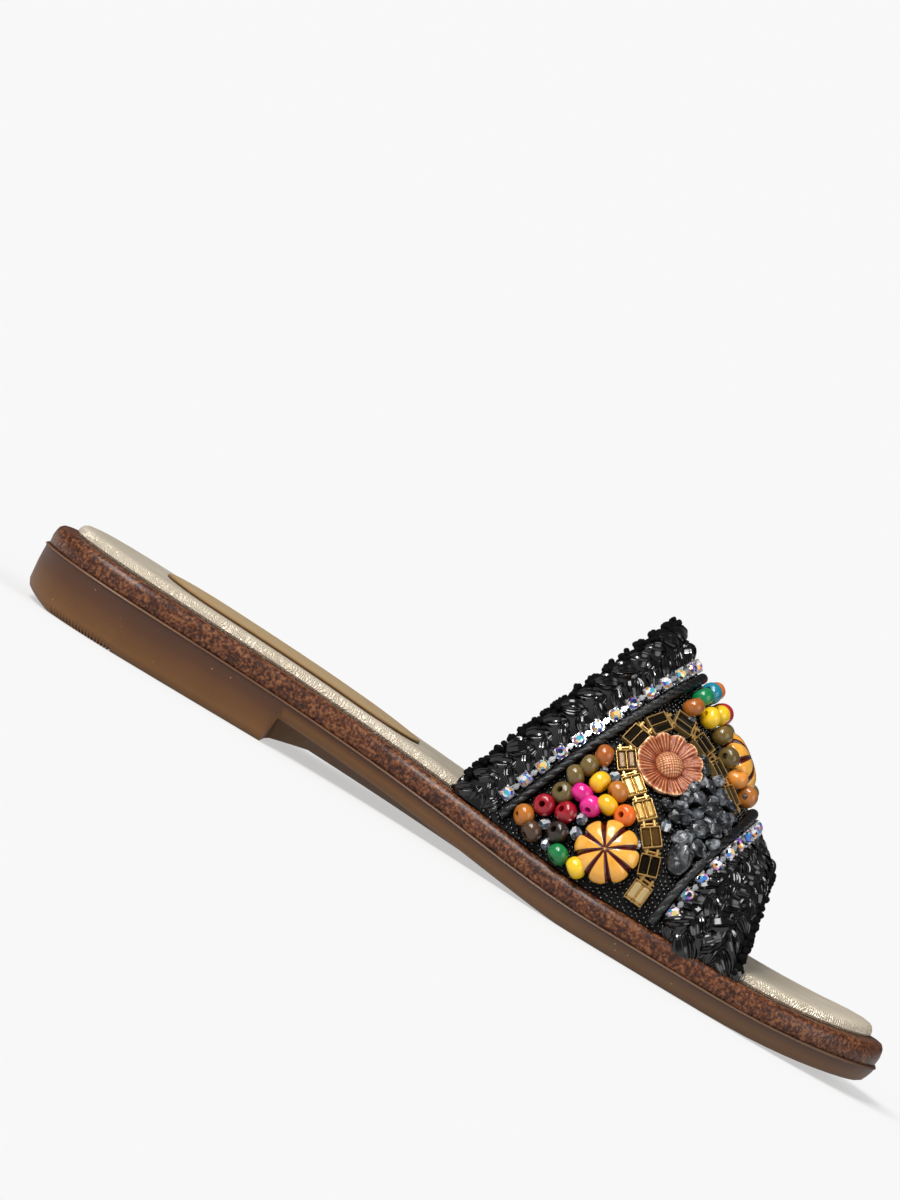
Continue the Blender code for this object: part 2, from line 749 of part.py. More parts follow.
def backing_sheet(rows, turn_at):
    """Thin closed sheet on the strap under a cluster."""
    mesh = bmesh.new()
    columns = 3
    layers = []
    for lift in (WALL + ORNAMENT_CLEAR, WALL + ORNAMENT_CLEAR + BACKING):
        grid = []
        for row in rows:
            alongs = [row.start + (row.end - row.start) * k / columns for k in range(columns + 1)]
            grid.append([mesh.verts.new(strap_point(a, turn_at(row.rise), lift)) for a in alongs])
        layers.append(grid)
    low, high = layers
    for grid in layers:
        for a, b in zip(grid, grid[1:]):
            for k in range(columns):
                mesh.faces.new((a[k], a[k + 1], b[k + 1], b[k]))
    for i in (0, len(rows) - 1):
        for k in range(columns):
            mesh.faces.new((low[i][k], low[i][k + 1], high[i][k + 1], high[i][k]))
    for k in (0, columns):
        for i in range(len(rows) - 1):
            mesh.faces.new((low[i][k], low[i + 1][k], high[i + 1][k], high[i][k]))
    return mesh


def barrel(mesh, frame):
    """Barrel bead lying on its side, its middle one radius above the frame."""
    sides = 6
    radius = BEAD_DIAMETER / 2
    rings = []
    for along, share in ((-0.5, 0.55), (-0.25, 1.0), (0.25, 1.0), (0.5, 0.55)):
        made = []
        for k in range(sides):
            angle = 2 * pi * (k + 0.5) / sides
            spot = Vector((
                BEAD_LENGTH * along,
                radius * share * cos(angle),
                radius + radius * share * sin(angle),
            ))
            made.append(mesh.verts.new(frame @ spot))
        rings.append(made)
    for a, b in zip(rings, rings[1:]):
        for k in range(sides):
            m = (k + 1) % sides
            mesh.faces.new((a[k], b[k], b[m], a[m]))
    mesh.faces.new(rings[0])
    mesh.faces.new(rings[-1][::-1])


def chip_stone(mesh, frame):
    """Rough four-sided stone chip with a ridge, its foot just under the frame."""
    half, low = CHIP_SIZE / 2, -BACKING * 0.7
    foot = [(-half, -half * 0.6), (half, -half * 0.7), (half * 0.9, half * 0.6), (-half * 0.8, half * 0.7)]
    base = [mesh.verts.new(frame @ Vector((x, y, low))) for x, y in foot]
    top = [mesh.verts.new(frame @ Vector((x * 0.55, y * 0.5, CHIP_HEIGHT))) for x, y in foot]
    for k in range(4):
        m = (k + 1) % 4
        mesh.faces.new((base[k], base[m], top[m], top[k]))
    mesh.faces.new(base[::-1])
    mesh.faces.new(top)


def join_cluster(name, sheet, stones, colour, roughness):
    """Union of a backing sheet and the stones sewn on it."""
    node = finish(name, sheet, colour, roughness)
    pieces = finish(name + "_pieces", stones, colour, roughness)
    union = node.modifiers.new("union", "BOOLEAN")
    union.operation = "UNION"
    union.solver = "EXACT"
    union.use_self = True
    union.object = pieces
    bpy.context.view_layer.update()
    graph = bpy.context.evaluated_depsgraph_get()
    joined = bpy.data.meshes.new_from_object(node.evaluated_get(graph))
    node.modifiers.remove(union)
    node.data = joined
    joined.materials.clear()
    joined.materials.append(bpy.data.materials[name + "_finish"])
    bpy.data.objects.remove(pieces)


def make_side_beads(name, side):
    stones = bmesh.new()
    for bead in SIDE_BEADS:
        lift = WALL + ORNAMENT_CLEAR + BACKING * 0.25
        barrel(stones, strap_frame(bead.along, turn_of(bead.rise, side), lift, bead.turn * -side))
    sheet = backing_sheet(BEAD_BACKING, lambda rise: turn_of(rise, side))
    join_cluster(name, sheet, stones, (0.55, 0.25, 0.06), 0.3)


def make_ridge_beads(name):
    stones = bmesh.new()
    for bead in RIDGE_BEADS:
        lift = WALL + ORNAMENT_CLEAR + BACKING * 0.25
        barrel(stones, strap_frame(bead.along, 0.5 + bead.across / 2, lift, bead.turn))
    sheet = backing_sheet(RIDGE_BACKING, lambda across: 0.5 + across / 2)
    join_cluster(name, sheet, stones, (0.55, 0.25, 0.06), 0.3)


def make_chips(name, side):
    stones = bmesh.new()
    for chip in CHIPS:
        lift = WALL + ORNAMENT_CLEAR + BACKING
        chip_stone(stones, strap_frame(chip.along, turn_of(chip.rise, side), lift, chip.turn * -side))
    sheet = backing_sheet(CHIP_BACKING, lambda rise: turn_of(rise, side))
    join_cluster(name, sheet, stones, (0.05, 0.055, 0.06), 0.25)


def centre_plan():
    """Move every node so that the whole shoe's box has its middle over the origin."""
    corners = [v.co for node in bpy.data.objects for v in node.data.vertices]
    middle_x = (min(c.x for c in corners) + max(c.x for c in corners)) / 2
    middle_y = (min(c.y for c in corners) + max(c.y for c in corners)) / 2
    for node in bpy.data.objects:
        node.data.transform(Matrix.Translation((-middle_x, -middle_y, 0)))


make_outsole()
make_welt()
make_insole()
make_heel_sock()
make_upper()
make_cord("back_cord", BACK_CORD)
make_cord("front_cord", FRONT_CORD)
make_cup_chain("back_crystal_chain", BACK_CHAIN)
make_cup_chain("front_crystal_chain", FRONT_CHAIN)
for side, word in ((-1, "medial"), (1, "lateral")):
    make_gold_chain("gold_chain_" + word, side)
    make_flower("flower_" + word, side)
    make_melon("melon_" + word, SIDE_MELON_AT[0], turn_of(SIDE_MELON_AT[1], side))
    make_side_beads("beads_" + word, side)
    make_chips("chips_" + word, side)
make_melon("melon_centre", RIDGE_MELON_ALONG, 0.5)
make_ridge_beads("beads_centre")
centre_plan()
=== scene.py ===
# %% [markdown]
# # A beaded slide sandal
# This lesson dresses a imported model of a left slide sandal. A moulded brown sole carries a burnished
# leather rand, a padded gold insole and one arched strap. The strap is crocheted along its borders
# and sewn with crystals, gilt links, flowers, lobed beads, wooden beads and dark stones.

# %% Load the frame
import json
import random
from collections import namedtuple
from math import asin, ceil, cos, pi, radians, sin

import bmesh
import bpy
from mathutils import Euler, Matrix, Vector

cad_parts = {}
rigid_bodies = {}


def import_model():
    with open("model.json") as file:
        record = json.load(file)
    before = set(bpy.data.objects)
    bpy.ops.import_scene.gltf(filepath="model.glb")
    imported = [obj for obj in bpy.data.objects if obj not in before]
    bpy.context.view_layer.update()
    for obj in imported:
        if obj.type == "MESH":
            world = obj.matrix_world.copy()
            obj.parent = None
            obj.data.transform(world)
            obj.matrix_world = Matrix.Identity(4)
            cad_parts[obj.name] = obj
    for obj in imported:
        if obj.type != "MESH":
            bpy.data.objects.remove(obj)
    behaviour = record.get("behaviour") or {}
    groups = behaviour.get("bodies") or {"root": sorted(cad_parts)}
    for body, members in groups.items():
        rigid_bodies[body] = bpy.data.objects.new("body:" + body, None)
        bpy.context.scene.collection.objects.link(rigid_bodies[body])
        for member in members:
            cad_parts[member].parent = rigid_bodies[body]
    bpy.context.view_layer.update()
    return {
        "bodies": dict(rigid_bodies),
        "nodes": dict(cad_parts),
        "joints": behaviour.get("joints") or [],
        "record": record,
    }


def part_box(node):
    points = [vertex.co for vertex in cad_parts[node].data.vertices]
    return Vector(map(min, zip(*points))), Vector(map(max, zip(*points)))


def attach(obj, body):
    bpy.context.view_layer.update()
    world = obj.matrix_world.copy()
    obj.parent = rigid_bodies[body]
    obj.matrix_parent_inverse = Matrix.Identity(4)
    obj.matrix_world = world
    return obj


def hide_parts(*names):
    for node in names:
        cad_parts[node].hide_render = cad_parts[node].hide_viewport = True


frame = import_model()
print("solids:", len(frame["nodes"]))

# %% [markdown]
# ## Small helpers
# Colours are written as the hex values a painter would pick, and one function turns them linear.
# One function adds a node with its settings and links, so that each material reads as a recipe, and
# one puts a finished mesh, lamp or camera in the scene.

# %% Colour and node helpers
def linear(code):
    """Turn an sRGB hex colour into linear red, green, blue and alpha."""
    channels = [int(code[i:i + 2], 16) / 255 for i in (1, 3, 5)]
    straight = [c / 12.92 if c <= 0.04045 else ((c + 0.055) / 1.055) ** 2.4 for c in channels]
    return (*straight, 1.0)


def add(tree, kind, settings=None, inputs=None, stops=()):
    """Add one node with its settings, values or links for its inputs, and (place, hex) stops."""
    node = tree.nodes.new(kind)
    for key, value in (settings or {}).items():
        setattr(node, key, value)
    for key, value in (inputs or {}).items():
        if isinstance(value, bpy.types.NodeSocket):
            tree.links.new(value, node.inputs[key])
        else:
            node.inputs[key].default_value = value
    for _ in stops[2:]:
        node.color_ramp.elements.new(0.5)
    for n, (place, code) in enumerate(stops):
        node.color_ramp.elements[n].position = place
        node.color_ramp.elements[n].color = linear(code)
    return node


def new_material(name):
    """Start an empty material and return it with its node tree."""
    material = bpy.data.materials.new(name)
    material.use_nodes = True
    material.node_tree.nodes.clear()
    return material, material.node_tree


def close_material(material, shader):
    """Join the last shader to the material's output and return the material."""
    output = add(material.node_tree, "ShaderNodeOutputMaterial")
    material.node_tree.links.new(shader.outputs[0], output.inputs["Surface"])
    return material


def add_object(name, data):
    """Make an object from its data and put it in the scene."""
    made = bpy.data.objects.new(name, data)
    bpy.context.scene.collection.objects.link(made)
    return made


# %% [markdown]
# ## The shoe's sizes
# The frame holds the solids, but finer surfaces need the rules behind them. The same sizes and short
# tables as in the solids are written here: an outline from above, a side view of the sole, and the
# strap as arches that run from their feet on the rand over a sloping ridge.

# %% Sizes in metres
LENGTH, BALL_WIDTH, HEEL_WIDTH = 0.250, 0.087, 0.061
HEEL_ROUND, TOE_ROUND_INNER, TOE_ROUND_OUTER, TIP_SHIFT = 0.033, 0.046, 0.066, 0.008
HEEL_HEIGHT, FOREFOOT_THICKNESS = 0.0144, 0.0055
HEEL_BREAST, BREAST_LEAN, WAIST_LIFT = 0.0738, 0.0010, 0.00735
FLAT_TO, TOE_SPRING = 0.205, 0.0035
STRIKE_LENGTH, STRIKE_RISE = 0.0077, 0.0020
SHANK_SHARE, RAMP_LENGTH = 0.55, 0.010
SIDE_DRAFT, BOTTOM_ROUND = 0.0011, 0.0030
WELT_INSET, WELT_THICKNESS, WELT_ROUND = 0.0008, 0.0054, 0.0018
INSOLE_INSET, INSOLE_THICKNESS = 0.0056, 0.0028
SOCK_FROM, SOCK_TO, SOCK_WIDTH, SOCK_THICKNESS = 0.031, 0.108, 0.036, 0.0008
CLEAR = 0.0003
STRAP_BACK, STRAP_FRONT, STRAP_INSET = 0.122, 0.207, 0.0048
RIDGE_BACK, RIDGE_FRONT, RIDGE_SHIFT = 0.147, 0.2005, 0.002
RIDGE_BACK_HEIGHT, RIDGE_FRONT_HEIGHT = 0.0770, 0.0345
WALL = 0.0022
ON_WALL = WALL + 0.0002
SIDES = (("medial", -1), ("lateral", 1))

Plan = namedtuple("Plan", "along heel ball shift")
PLAN = [
    Plan(0.00, 1.00, 0.00, 0.000), Plan(0.14, 1.00, 0.00, 0.000), Plan(0.28, 0.96, 0.00, 0.012),
    Plan(0.42, 0.62, 0.24, 0.036), Plan(0.54, 0.26, 0.64, 0.026), Plan(0.66, 0.02, 0.98, 0.004),
    Plan(0.74, 0.00, 1.00, -0.004), Plan(0.86, 0.00, 0.96, -0.012), Plan(1.00, 0.00, 0.92, -0.020),
]
Side = namedtuple("Side", "along seat under")
SIDE = [
    Side(0.000, 1.000, 1.00), Side(0.150, 0.900, 1.00), Side(0.295, 0.755, 1.00),
    Side(0.400, 0.560, 0.76), Side(0.500, 0.330, 0.44), Side(0.580, 0.120, 0.16),
    Side(0.640, 0.020, 0.00), Side(0.700, 0.000, 0.00), Side(1.000, 0.000, 0.00),
]
Row = namedtuple("Row", "foot ridge")
BACK_BORDER, FRONT_BORDER = Row(0.100, 0.146), Row(0.760, 0.842)
BACK_CHAIN, FRONT_CHAIN = Row(0.122, 0.174), Row(0.739, 0.813)
BACK_CORD, FRONT_CORD = Row(0.163, 0.225), Row(0.698, 0.763)


# %% Functions of the outline and the side view
def curve(table, column, along):
    """Read a smooth curve through one column of a table."""
    rows = [(row[0], getattr(row, column)) for row in table]
    if along <= rows[0][0]:
        return rows[0][1]
    if along >= rows[-1][0]:
        return rows[-1][1]
    here = next(i for i in range(len(rows) - 1) if along <= rows[i + 1][0])
    slopes = []
    for i in (here, here + 1):
        before, after = rows[max(i - 1, 0)], rows[min(i + 1, len(rows) - 1)]
        slopes.append((after[1] - before[1]) / (after[0] - before[0]))
    (x0, y0), (x1, y1) = rows[here], rows[here + 1]
    span = x1 - x0
    t = (along - x0) / span
    ends = span * (slopes[0] * t * (1 - t) ** 2 - slopes[1] * t * t * (1 - t))
    return y0 + (y1 - y0) * (3 - 2 * t) * t * t + ends


ROUND_POWER = 2.1


def rounding(x, radius, at_toe):
    """Share of the half width that is left at x in a round end."""
    into = (x - (LENGTH - radius)) if at_toe else (radius - x)
    if into <= 0:
        return 1.0
    return max(0.0, 1 - (into / radius) ** ROUND_POWER) ** (1 / ROUND_POWER)


def edge(x, side):
    """The sole's outline at x: side -1 is the inner edge, +1 the outer edge."""
    along = x / LENGTH
    width = HEEL_WIDTH * curve(PLAN, "heel", along) + BALL_WIDTH * curve(PLAN, "ball", along)
    middle = BALL_WIDTH * curve(PLAN, "shift", along)
    y = middle + side * width / 2
    if x < HEEL_ROUND:
        return middle + (y - middle) * rounding(x, HEEL_ROUND, False)
    radius = TOE_ROUND_INNER if side < 0 else TOE_ROUND_OUTER
    return -TIP_SHIFT + (y + TIP_SHIFT) * rounding(x, radius, True)


def toe_spring(x):
    """Rise of the toe in front of the flat forefoot."""
    return TOE_SPRING * (max(0.0, x - FLAT_TO) / (LENGTH - FLAT_TO)) ** 2


def underside(x):
    """Height of the outsole's lower edge."""
    if x <= HEEL_BREAST:
        return STRIKE_RISE * max(0.0, 1 - x / STRIKE_LENGTH)
    return WAIST_LIFT * max(0.0, curve(SIDE, "under", x / LENGTH)) + toe_spring(x)


def seat(x):
    """Height of the outsole's top."""
    extra = HEEL_HEIGHT - FOREFOOT_THICKNESS
    return FOREFOOT_THICKNESS + extra * curve(SIDE, "seat", x / LENGTH) + toe_spring(x)


def welt_top(x):
    """Height of the rand's top."""
    return seat(x) + CLEAR + WELT_THICKNESS


def insole_top(x):
    """Height of the insole's top."""
    return welt_top(x) + CLEAR + INSOLE_THICKNESS


low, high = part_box("outsole")
INNER_LIMIT = min(edge(i / 2000, -1) for i in range(300, 480))
SHOE_ORIGIN = Vector(((low.x + high.x - LENGTH) / 2, low.y - INNER_LIMIT, 0))
print("heel end at", tuple(round(c, 5) for c in SHOE_ORIGIN))


# %% [markdown]
# ## The strap as a surface
# Every ornament sits on the strap, so one function gives a point from its share of the way forward
# (along) and its turn over the arch (0 at the inner foot, 0.5 on the ridge). A second one gives a
# matrix that stands a piece there, its Z outward.

# %% Strap functions
def lining_point(along, turn):
    """Point on the inner face of the strap."""
    foot_x = STRAP_BACK + (STRAP_FRONT - STRAP_BACK) * along
    ridge_x = RIDGE_BACK + (RIDGE_FRONT - RIDGE_BACK) * along
    ridge_z = RIDGE_BACK_HEIGHT + (RIDGE_FRONT_HEIGHT - RIDGE_BACK_HEIGHT) * along
    inner, outer = edge(foot_x, -1) + STRAP_INSET, edge(foot_x, 1) - STRAP_INSET
    foot_z = welt_top(foot_x) + CLEAR
    up, over = sin(pi * turn), cos(pi * turn)
    return SHOE_ORIGIN + Vector((
        foot_x + (ridge_x - foot_x) * up,
        (inner + outer) / 2 - RIDGE_SHIFT * up - over * (outer - inner) / 2,
        foot_z + (ridge_z - foot_z) * up,
    ))


def strap_axes(along, turn):
    """Point on the lining, with the directions outward and forward there."""
    step = 1e-3
    forward = lining_point(along + step, turn) - lining_point(along - step, turn)
    around = lining_point(along, turn + step) - lining_point(along, turn - step)
    out = forward.cross(around).normalized()
    return lining_point(along, turn), out, (forward - out * forward.dot(out)).normalized()


def strap_point(along, turn, lift=0.0):
    """Point on the strap at a height over its lining."""
    here, out, _ = strap_axes(along, turn)
    return here + out * lift


def strap_frame(along, turn, lift, spin=0.0):
    """Matrix that stands a piece on the strap: Z outward, X forward, turned by spin degrees."""
    here, out, forward = strap_axes(along, turn)
    turned = Matrix((forward, out.cross(forward), out)).transposed().to_4x4()
    return Matrix.Translation(here + out * lift) @ turned @ Matrix.Rotation(radians(spin), 4, "Z")


def turn_of(rise, side):
    """Turn of a rise on the inner (-1) or outer (+1) side."""
    turn = asin(rise) / pi
    return turn if side < 0 else 1 - turn


def row_along(row, turn):
    """Along of a row over the arch."""
    return row.foot + (row.ridge - row.foot) * sin(pi * turn) ** 2


def even_frames(shares, lift, pitch, half_step=True):
    """Frames at an even pitch along (along, turn) shares: X along the path, Z outward."""
    points = [strap_point(a, t, lift) for a, t in shares]
    run = [0.0]
    for a, b in zip(points, points[1:]):
        run.append(run[-1] + (b - a).length)
    count = int(run[-1] / pitch)
    start = (run[-1] - count * pitch) / 2 + (pitch / 2 if half_step else 0)
    frames = []
    for n in range(count if half_step else count + 1):
        length = min(start + n * pitch, run[-1] - 1e-9)
        i = next((k for k in range(len(run) - 1) if length <= run[k + 1]), len(run) - 2)
        t = (length - run[i]) / (run[i + 1] - run[i])
        along = shares[i][0] + (shares[i + 1][0] - shares[i][0]) * t
        turn = shares[i][1] + (shares[i + 1][1] - shares[i][1]) * t
        here, out, _ = strap_axes(along, turn)
        ahead = points[i + 1] - points[i]
        forward = (ahead - out * ahead.dot(out)).normalized()
        matrix = Matrix((forward, out.cross(forward), out)).transposed().to_4x4()
        matrix.translation = here + out * lift
        frames.append(matrix)
    return frames


def arch_shares(row, first, last, steps=96):
    """Shares of along and turn of one row over the arch."""
    turns = [first + (last - first) * i / steps for i in range(steps + 1)]
    return [(row_along(row, turn), turn) for turn in turns]


print("ridge at the back:", tuple(round(c, 4) for c in strap_point(0, 0.5, WALL)))

# %% [markdown]
# ## Camera
# The photo is a plain side view of the inner side through a long lens, a few degrees above the floor.
# There the shoe stands on its toe with the sole bent. Here it rests flat, so the camera is rolled to
# show it at the same slant.

# %% Camera
CAMERA_ROLL, CAMERA_ELEVATION, CAMERA_AZIMUTH = 31.0, 2.3, 1.5
CAMERA_DISTANCE, FRAME_HEIGHT, SENSOR = 2.2, 0.300, 36.0
CAMERA_TARGET = Vector((-0.0280, -0.041, 0.0560))


def place_camera():
    """Long lens that looks at the inner side, rolled about its own axis."""
    data = bpy.data.cameras.new("camera")
    data.sensor_fit = "VERTICAL"
    data.sensor_height = SENSOR
    data.lens = SENSOR * CAMERA_DISTANCE / FRAME_HEIGHT
    data.clip_start, data.clip_end = 0.1, 20
    camera = add_object("camera", data)
    level = Euler((radians(90 - CAMERA_ELEVATION), 0, radians(CAMERA_AZIMUTH)), "XYZ").to_matrix()
    rolled = level @ Matrix.Rotation(radians(CAMERA_ROLL), 3, "Z")
    back = level @ Vector((0, 0, 1))
    camera.matrix_world = Matrix.Translation(CAMERA_TARGET + back * CAMERA_DISTANCE) @ rolled.to_4x4()
    bpy.context.scene.camera = camera


place_camera()
print("lens", round(bpy.context.scene.camera.data.lens, 1), "mm")

# %% [markdown]
# ## Finishes of the sole
# The unit sole is moulded rubber, brown and slightly translucent, warmer where it thins and lighter low
# down, where painted light bounced up from the floor adds to it. A painted highlight runs along its top
# lip.
# The rand is leather that was stained, speckled and burnished, with a painted sheen on its shoulder. The
# insole is metallic leather over thin foam: its turned-down side is gathered in fine puckers.
# A texture's scale counts its features along a metre, so a comment gives the real size of each one.
# Leather grain is finer than the picture can show and is drawn coarser.

# %% Sole materials
WHEEL_PITCH, PUCKER_PITCH = 0.0016, 0.0008


def rubber_material():
    """Moulded translucent rubber, smooth, soft gloss: darker upwards, painted floor bounce low, painted
    highlight on the lip.
    """
    material, tree = new_material("moulded_brown_rubber")
    level = add(tree, "ShaderNodeAttribute", {"attribute_name": "level"})
    where = add(tree, "ShaderNodeTexCoord").outputs["Object"]
    # Clouds of 22 mm
    cloud = add(tree, "ShaderNodeTexNoise", inputs={"Vector": where, "Scale": 45.0, "Detail": 3.0})
    mixed = add(tree, "ShaderNodeMath", {"operation": "MULTIPLY_ADD"}, {
        0: cloud.outputs["Fac"], 1: 0.20, 2: level.outputs["Fac"]})
    # The pale lowest stop is partly painted light bounced from the floor. The pale top stop is a painted
    # highlight on the lip.
    warm = add(tree, "ShaderNodeValToRGB", inputs={"Fac": mixed.outputs[0]}, stops=[
        (0.10, "#805a36"), (0.34, "#6b4726"), (0.58, "#553622"), (0.82, "#4a3025"), (0.97, "#7d5d41")])
    along = add(tree, "ShaderNodeSeparateXYZ", inputs={0: where})
    forefoot = add(tree, "ShaderNodeMapRange", inputs={
        "Value": along.outputs["X"], "From Min": -0.03, "From Max": 0.05, "To Max": 0.45})
    greyer = add(tree, "ShaderNodeMix", {"data_type": "RGBA"}, {
        "Factor": forefoot.outputs[0], 6: warm.outputs[0], 7: linear("#57463a")})
    # Pale dust, one speck in 3.3 mm
    dust = add(tree, "ShaderNodeTexVoronoi", inputs={"Vector": where, "Scale": 300.0})
    speck = add(tree, "ShaderNodeMath", {"operation": "LESS_THAN"}, {
        0: dust.outputs["Distance"], 1: 0.05})
    faint = add(tree, "ShaderNodeMath", {"operation": "MULTIPLY"}, {0: speck.outputs[0], 1: 0.45})
    colour = add(tree, "ShaderNodeMix", {"data_type": "RGBA"}, {
        "Factor": faint.outputs[0], 6: greyer.outputs[2], 7: linear("#cdb394")}).outputs[2]
    # Mould grain of 0.7 mm
    grain = add(tree, "ShaderNodeTexNoise", inputs={"Vector": where, "Scale": 1400.0, "Detail": 2.0})
    bump = add(tree, "ShaderNodeBump", inputs={
        "Height": grain.outputs["Fac"], "Strength": 0.12, "Distance": 0.0002})
    shader = add(tree, "ShaderNodeBsdfPrincipled", inputs={
        "Base Color": colour, "Roughness": 0.46, "IOR": 1.5, "Specular IOR Level": 0.35,
        "Normal": bump.outputs[0], "Subsurface Weight": 0.12, "Subsurface Scale": 0.003})
    return close_material(material, shader)


def rand_material():
    """Burnished leather: dark speckles over tan, waxed, a painted sheen on its shoulder, slanted wheel
    marks on its top edge.
    """
    material, tree = new_material("burnished_speckled_leather")
    where = add(tree, "ShaderNodeTexCoord").outputs["Object"]
    level = add(tree, "ShaderNodeAttribute", {"attribute_name": "level"})
    # Speckles of 0.9 mm in patches of 4 mm
    speckle = add(tree, "ShaderNodeTexNoise", inputs={
        "Vector": where, "Scale": 1150.0, "Detail": 4.0, "Roughness": 0.62})
    patches = add(tree, "ShaderNodeTexNoise", inputs={"Vector": where, "Scale": 260.0, "Detail": 3.0})
    mixed = add(tree, "ShaderNodeMath", {"operation": "MULTIPLY_ADD"}, {
        0: patches.outputs["Fac"], 1: 0.30, 2: speckle.outputs["Fac"]})
    stain = add(tree, "ShaderNodeValToRGB", inputs={"Fac": mixed.outputs[0]}, stops=[
        (0.54, "#280e03"), (0.63, "#4b2109"), (0.69, "#613417"), (0.80, "#835331")])
    # Painted sheen: the shoulder and top are lightened where light catches them
    lighter = add(tree, "ShaderNodeValToRGB", inputs={"Fac": level.outputs["Fac"]}, stops=[
        (0.55, "#000000"), (0.95, "#5c351f")])
    colour = add(tree, "ShaderNodeMix", {"data_type": "RGBA", "blend_type": "ADD"}, {
        "Factor": 0.10, 6: stain.outputs[0], 7: lighter.outputs[0]})
    path = add(tree, "ShaderNodeSeparateXYZ", inputs={0: where.node.outputs["UV"]})
    slant = add(tree, "ShaderNodeMath", {"operation": "MULTIPLY_ADD"}, {
        0: path.outputs["Y"], 1: 0.8, 2: path.outputs["X"]})
    wheel = add(tree, "ShaderNodeMath", {"operation": "MULTIPLY"}, {
        0: slant.outputs[0], 1: 2 * pi / WHEEL_PITCH})
    marks = add(tree, "ShaderNodeMath", {"operation": "SINE"}, {0: wheel.outputs[0]})
    on_top = add(tree, "ShaderNodeMapRange", inputs={
        "Value": level.outputs["Fac"], "From Min": 0.82, "From Max": 0.95})
    depth = add(tree, "ShaderNodeMath", {"operation": "MULTIPLY"}, {
        0: marks.outputs[0], 1: on_top.outputs[0]})
    pressed = add(tree, "ShaderNodeMapRange", inputs={
        "Value": depth.outputs[0], "From Max": -1.0, "To Max": 0.5})
    marked = add(tree, "ShaderNodeMix", {"data_type": "RGBA"}, {
        "Factor": pressed.outputs[0], 6: colour.outputs[2], 7: linear("#2c1004")})
    height = add(tree, "ShaderNodeMath", {"operation": "MULTIPLY_ADD"}, {
        0: depth.outputs[0], 1: 0.5, 2: speckle.outputs["Fac"]})
    bump = add(tree, "ShaderNodeBump", inputs={
        "Height": height.outputs[0], "Strength": 0.35, "Distance": 0.0003})
    shader = add(tree, "ShaderNodeBsdfPrincipled", inputs={
        "Base Color": marked.outputs[2], "Roughness": 0.44, "IOR": 1.5, "Specular IOR Level": 0.4,
        "Normal": bump.outputs[0], "Coat Weight": 0.2, "Coat Roughness": 0.28})
    return close_material(material, shader)


def gold_leather_material():
    """Foiled leather: pale gold, half metallic, fine grain, and gathered puckers on its side."""
    material, tree = new_material("foiled_gold_leather")
    where = add(tree, "ShaderNodeTexCoord").outputs["Object"]
    level = add(tree, "ShaderNodeAttribute", {"attribute_name": "level"})
    path = add(tree, "ShaderNodeSeparateXYZ", inputs={0: where.node.outputs["UV"]})
    # Puckers wander along the side in waves of 4 mm
    wander = add(tree, "ShaderNodeTexNoise", inputs={"Vector": where, "Scale": 260.0, "Detail": 3.0})
    along = add(tree, "ShaderNodeMath", {"operation": "MULTIPLY_ADD"}, {
        0: wander.outputs["Fac"], 1: 0.0050, 2: path.outputs["X"]})
    gather = add(tree, "ShaderNodeMath", {"operation": "MULTIPLY"}, {
        0: along.outputs[0], 1: 2 * pi / PUCKER_PITCH})
    folds = add(tree, "ShaderNodeMath", {"operation": "SINE"}, {0: gather.outputs[0]})
    on_side = add(tree, "ShaderNodeMapRange", inputs={
        "Value": level.outputs["Fac"], "From Min": 0.95, "From Max": 0.62, "To Min": 0.0, "To Max": 1.0})
    puckers = add(tree, "ShaderNodeMath", {"operation": "MULTIPLY"}, {
        0: folds.outputs[0], 1: on_side.outputs[0]})
    # Leather grain of 0.8 mm, coarser than real
    grain = add(tree, "ShaderNodeTexVoronoi", {"feature": "DISTANCE_TO_EDGE"}, {
        "Vector": where, "Scale": 1300.0})
    grain_height = add(tree, "ShaderNodeMath", {"operation": "MINIMUM"}, {
        0: grain.outputs["Distance"], 1: 0.2})
    height = add(tree, "ShaderNodeMath", {"operation": "MULTIPLY_ADD"}, {
        0: puckers.outputs[0], 1: 0.9, 2: grain_height.outputs[0]})
    bump = add(tree, "ShaderNodeBump", inputs={
        "Height": height.outputs[0], "Strength": 0.55, "Distance": 0.0004})
    # Tone that drifts over 17 mm
    tone = add(tree, "ShaderNodeTexNoise", inputs={"Vector": where, "Scale": 60.0, "Detail": 4.0})
    colour = add(tree, "ShaderNodeValToRGB", inputs={"Fac": tone.outputs["Fac"]}, stops=[
        (0.3, "#cfc1aa"), (0.55, "#d8cbb5"), (0.8, "#e1d5c1")])
    shader = add(tree, "ShaderNodeBsdfPrincipled", inputs={
        "Base Color": colour.outputs[0], "Metallic": 0.25, "Roughness": 0.32, "Normal": bump.outputs[0]})
    return close_material(material, shader)


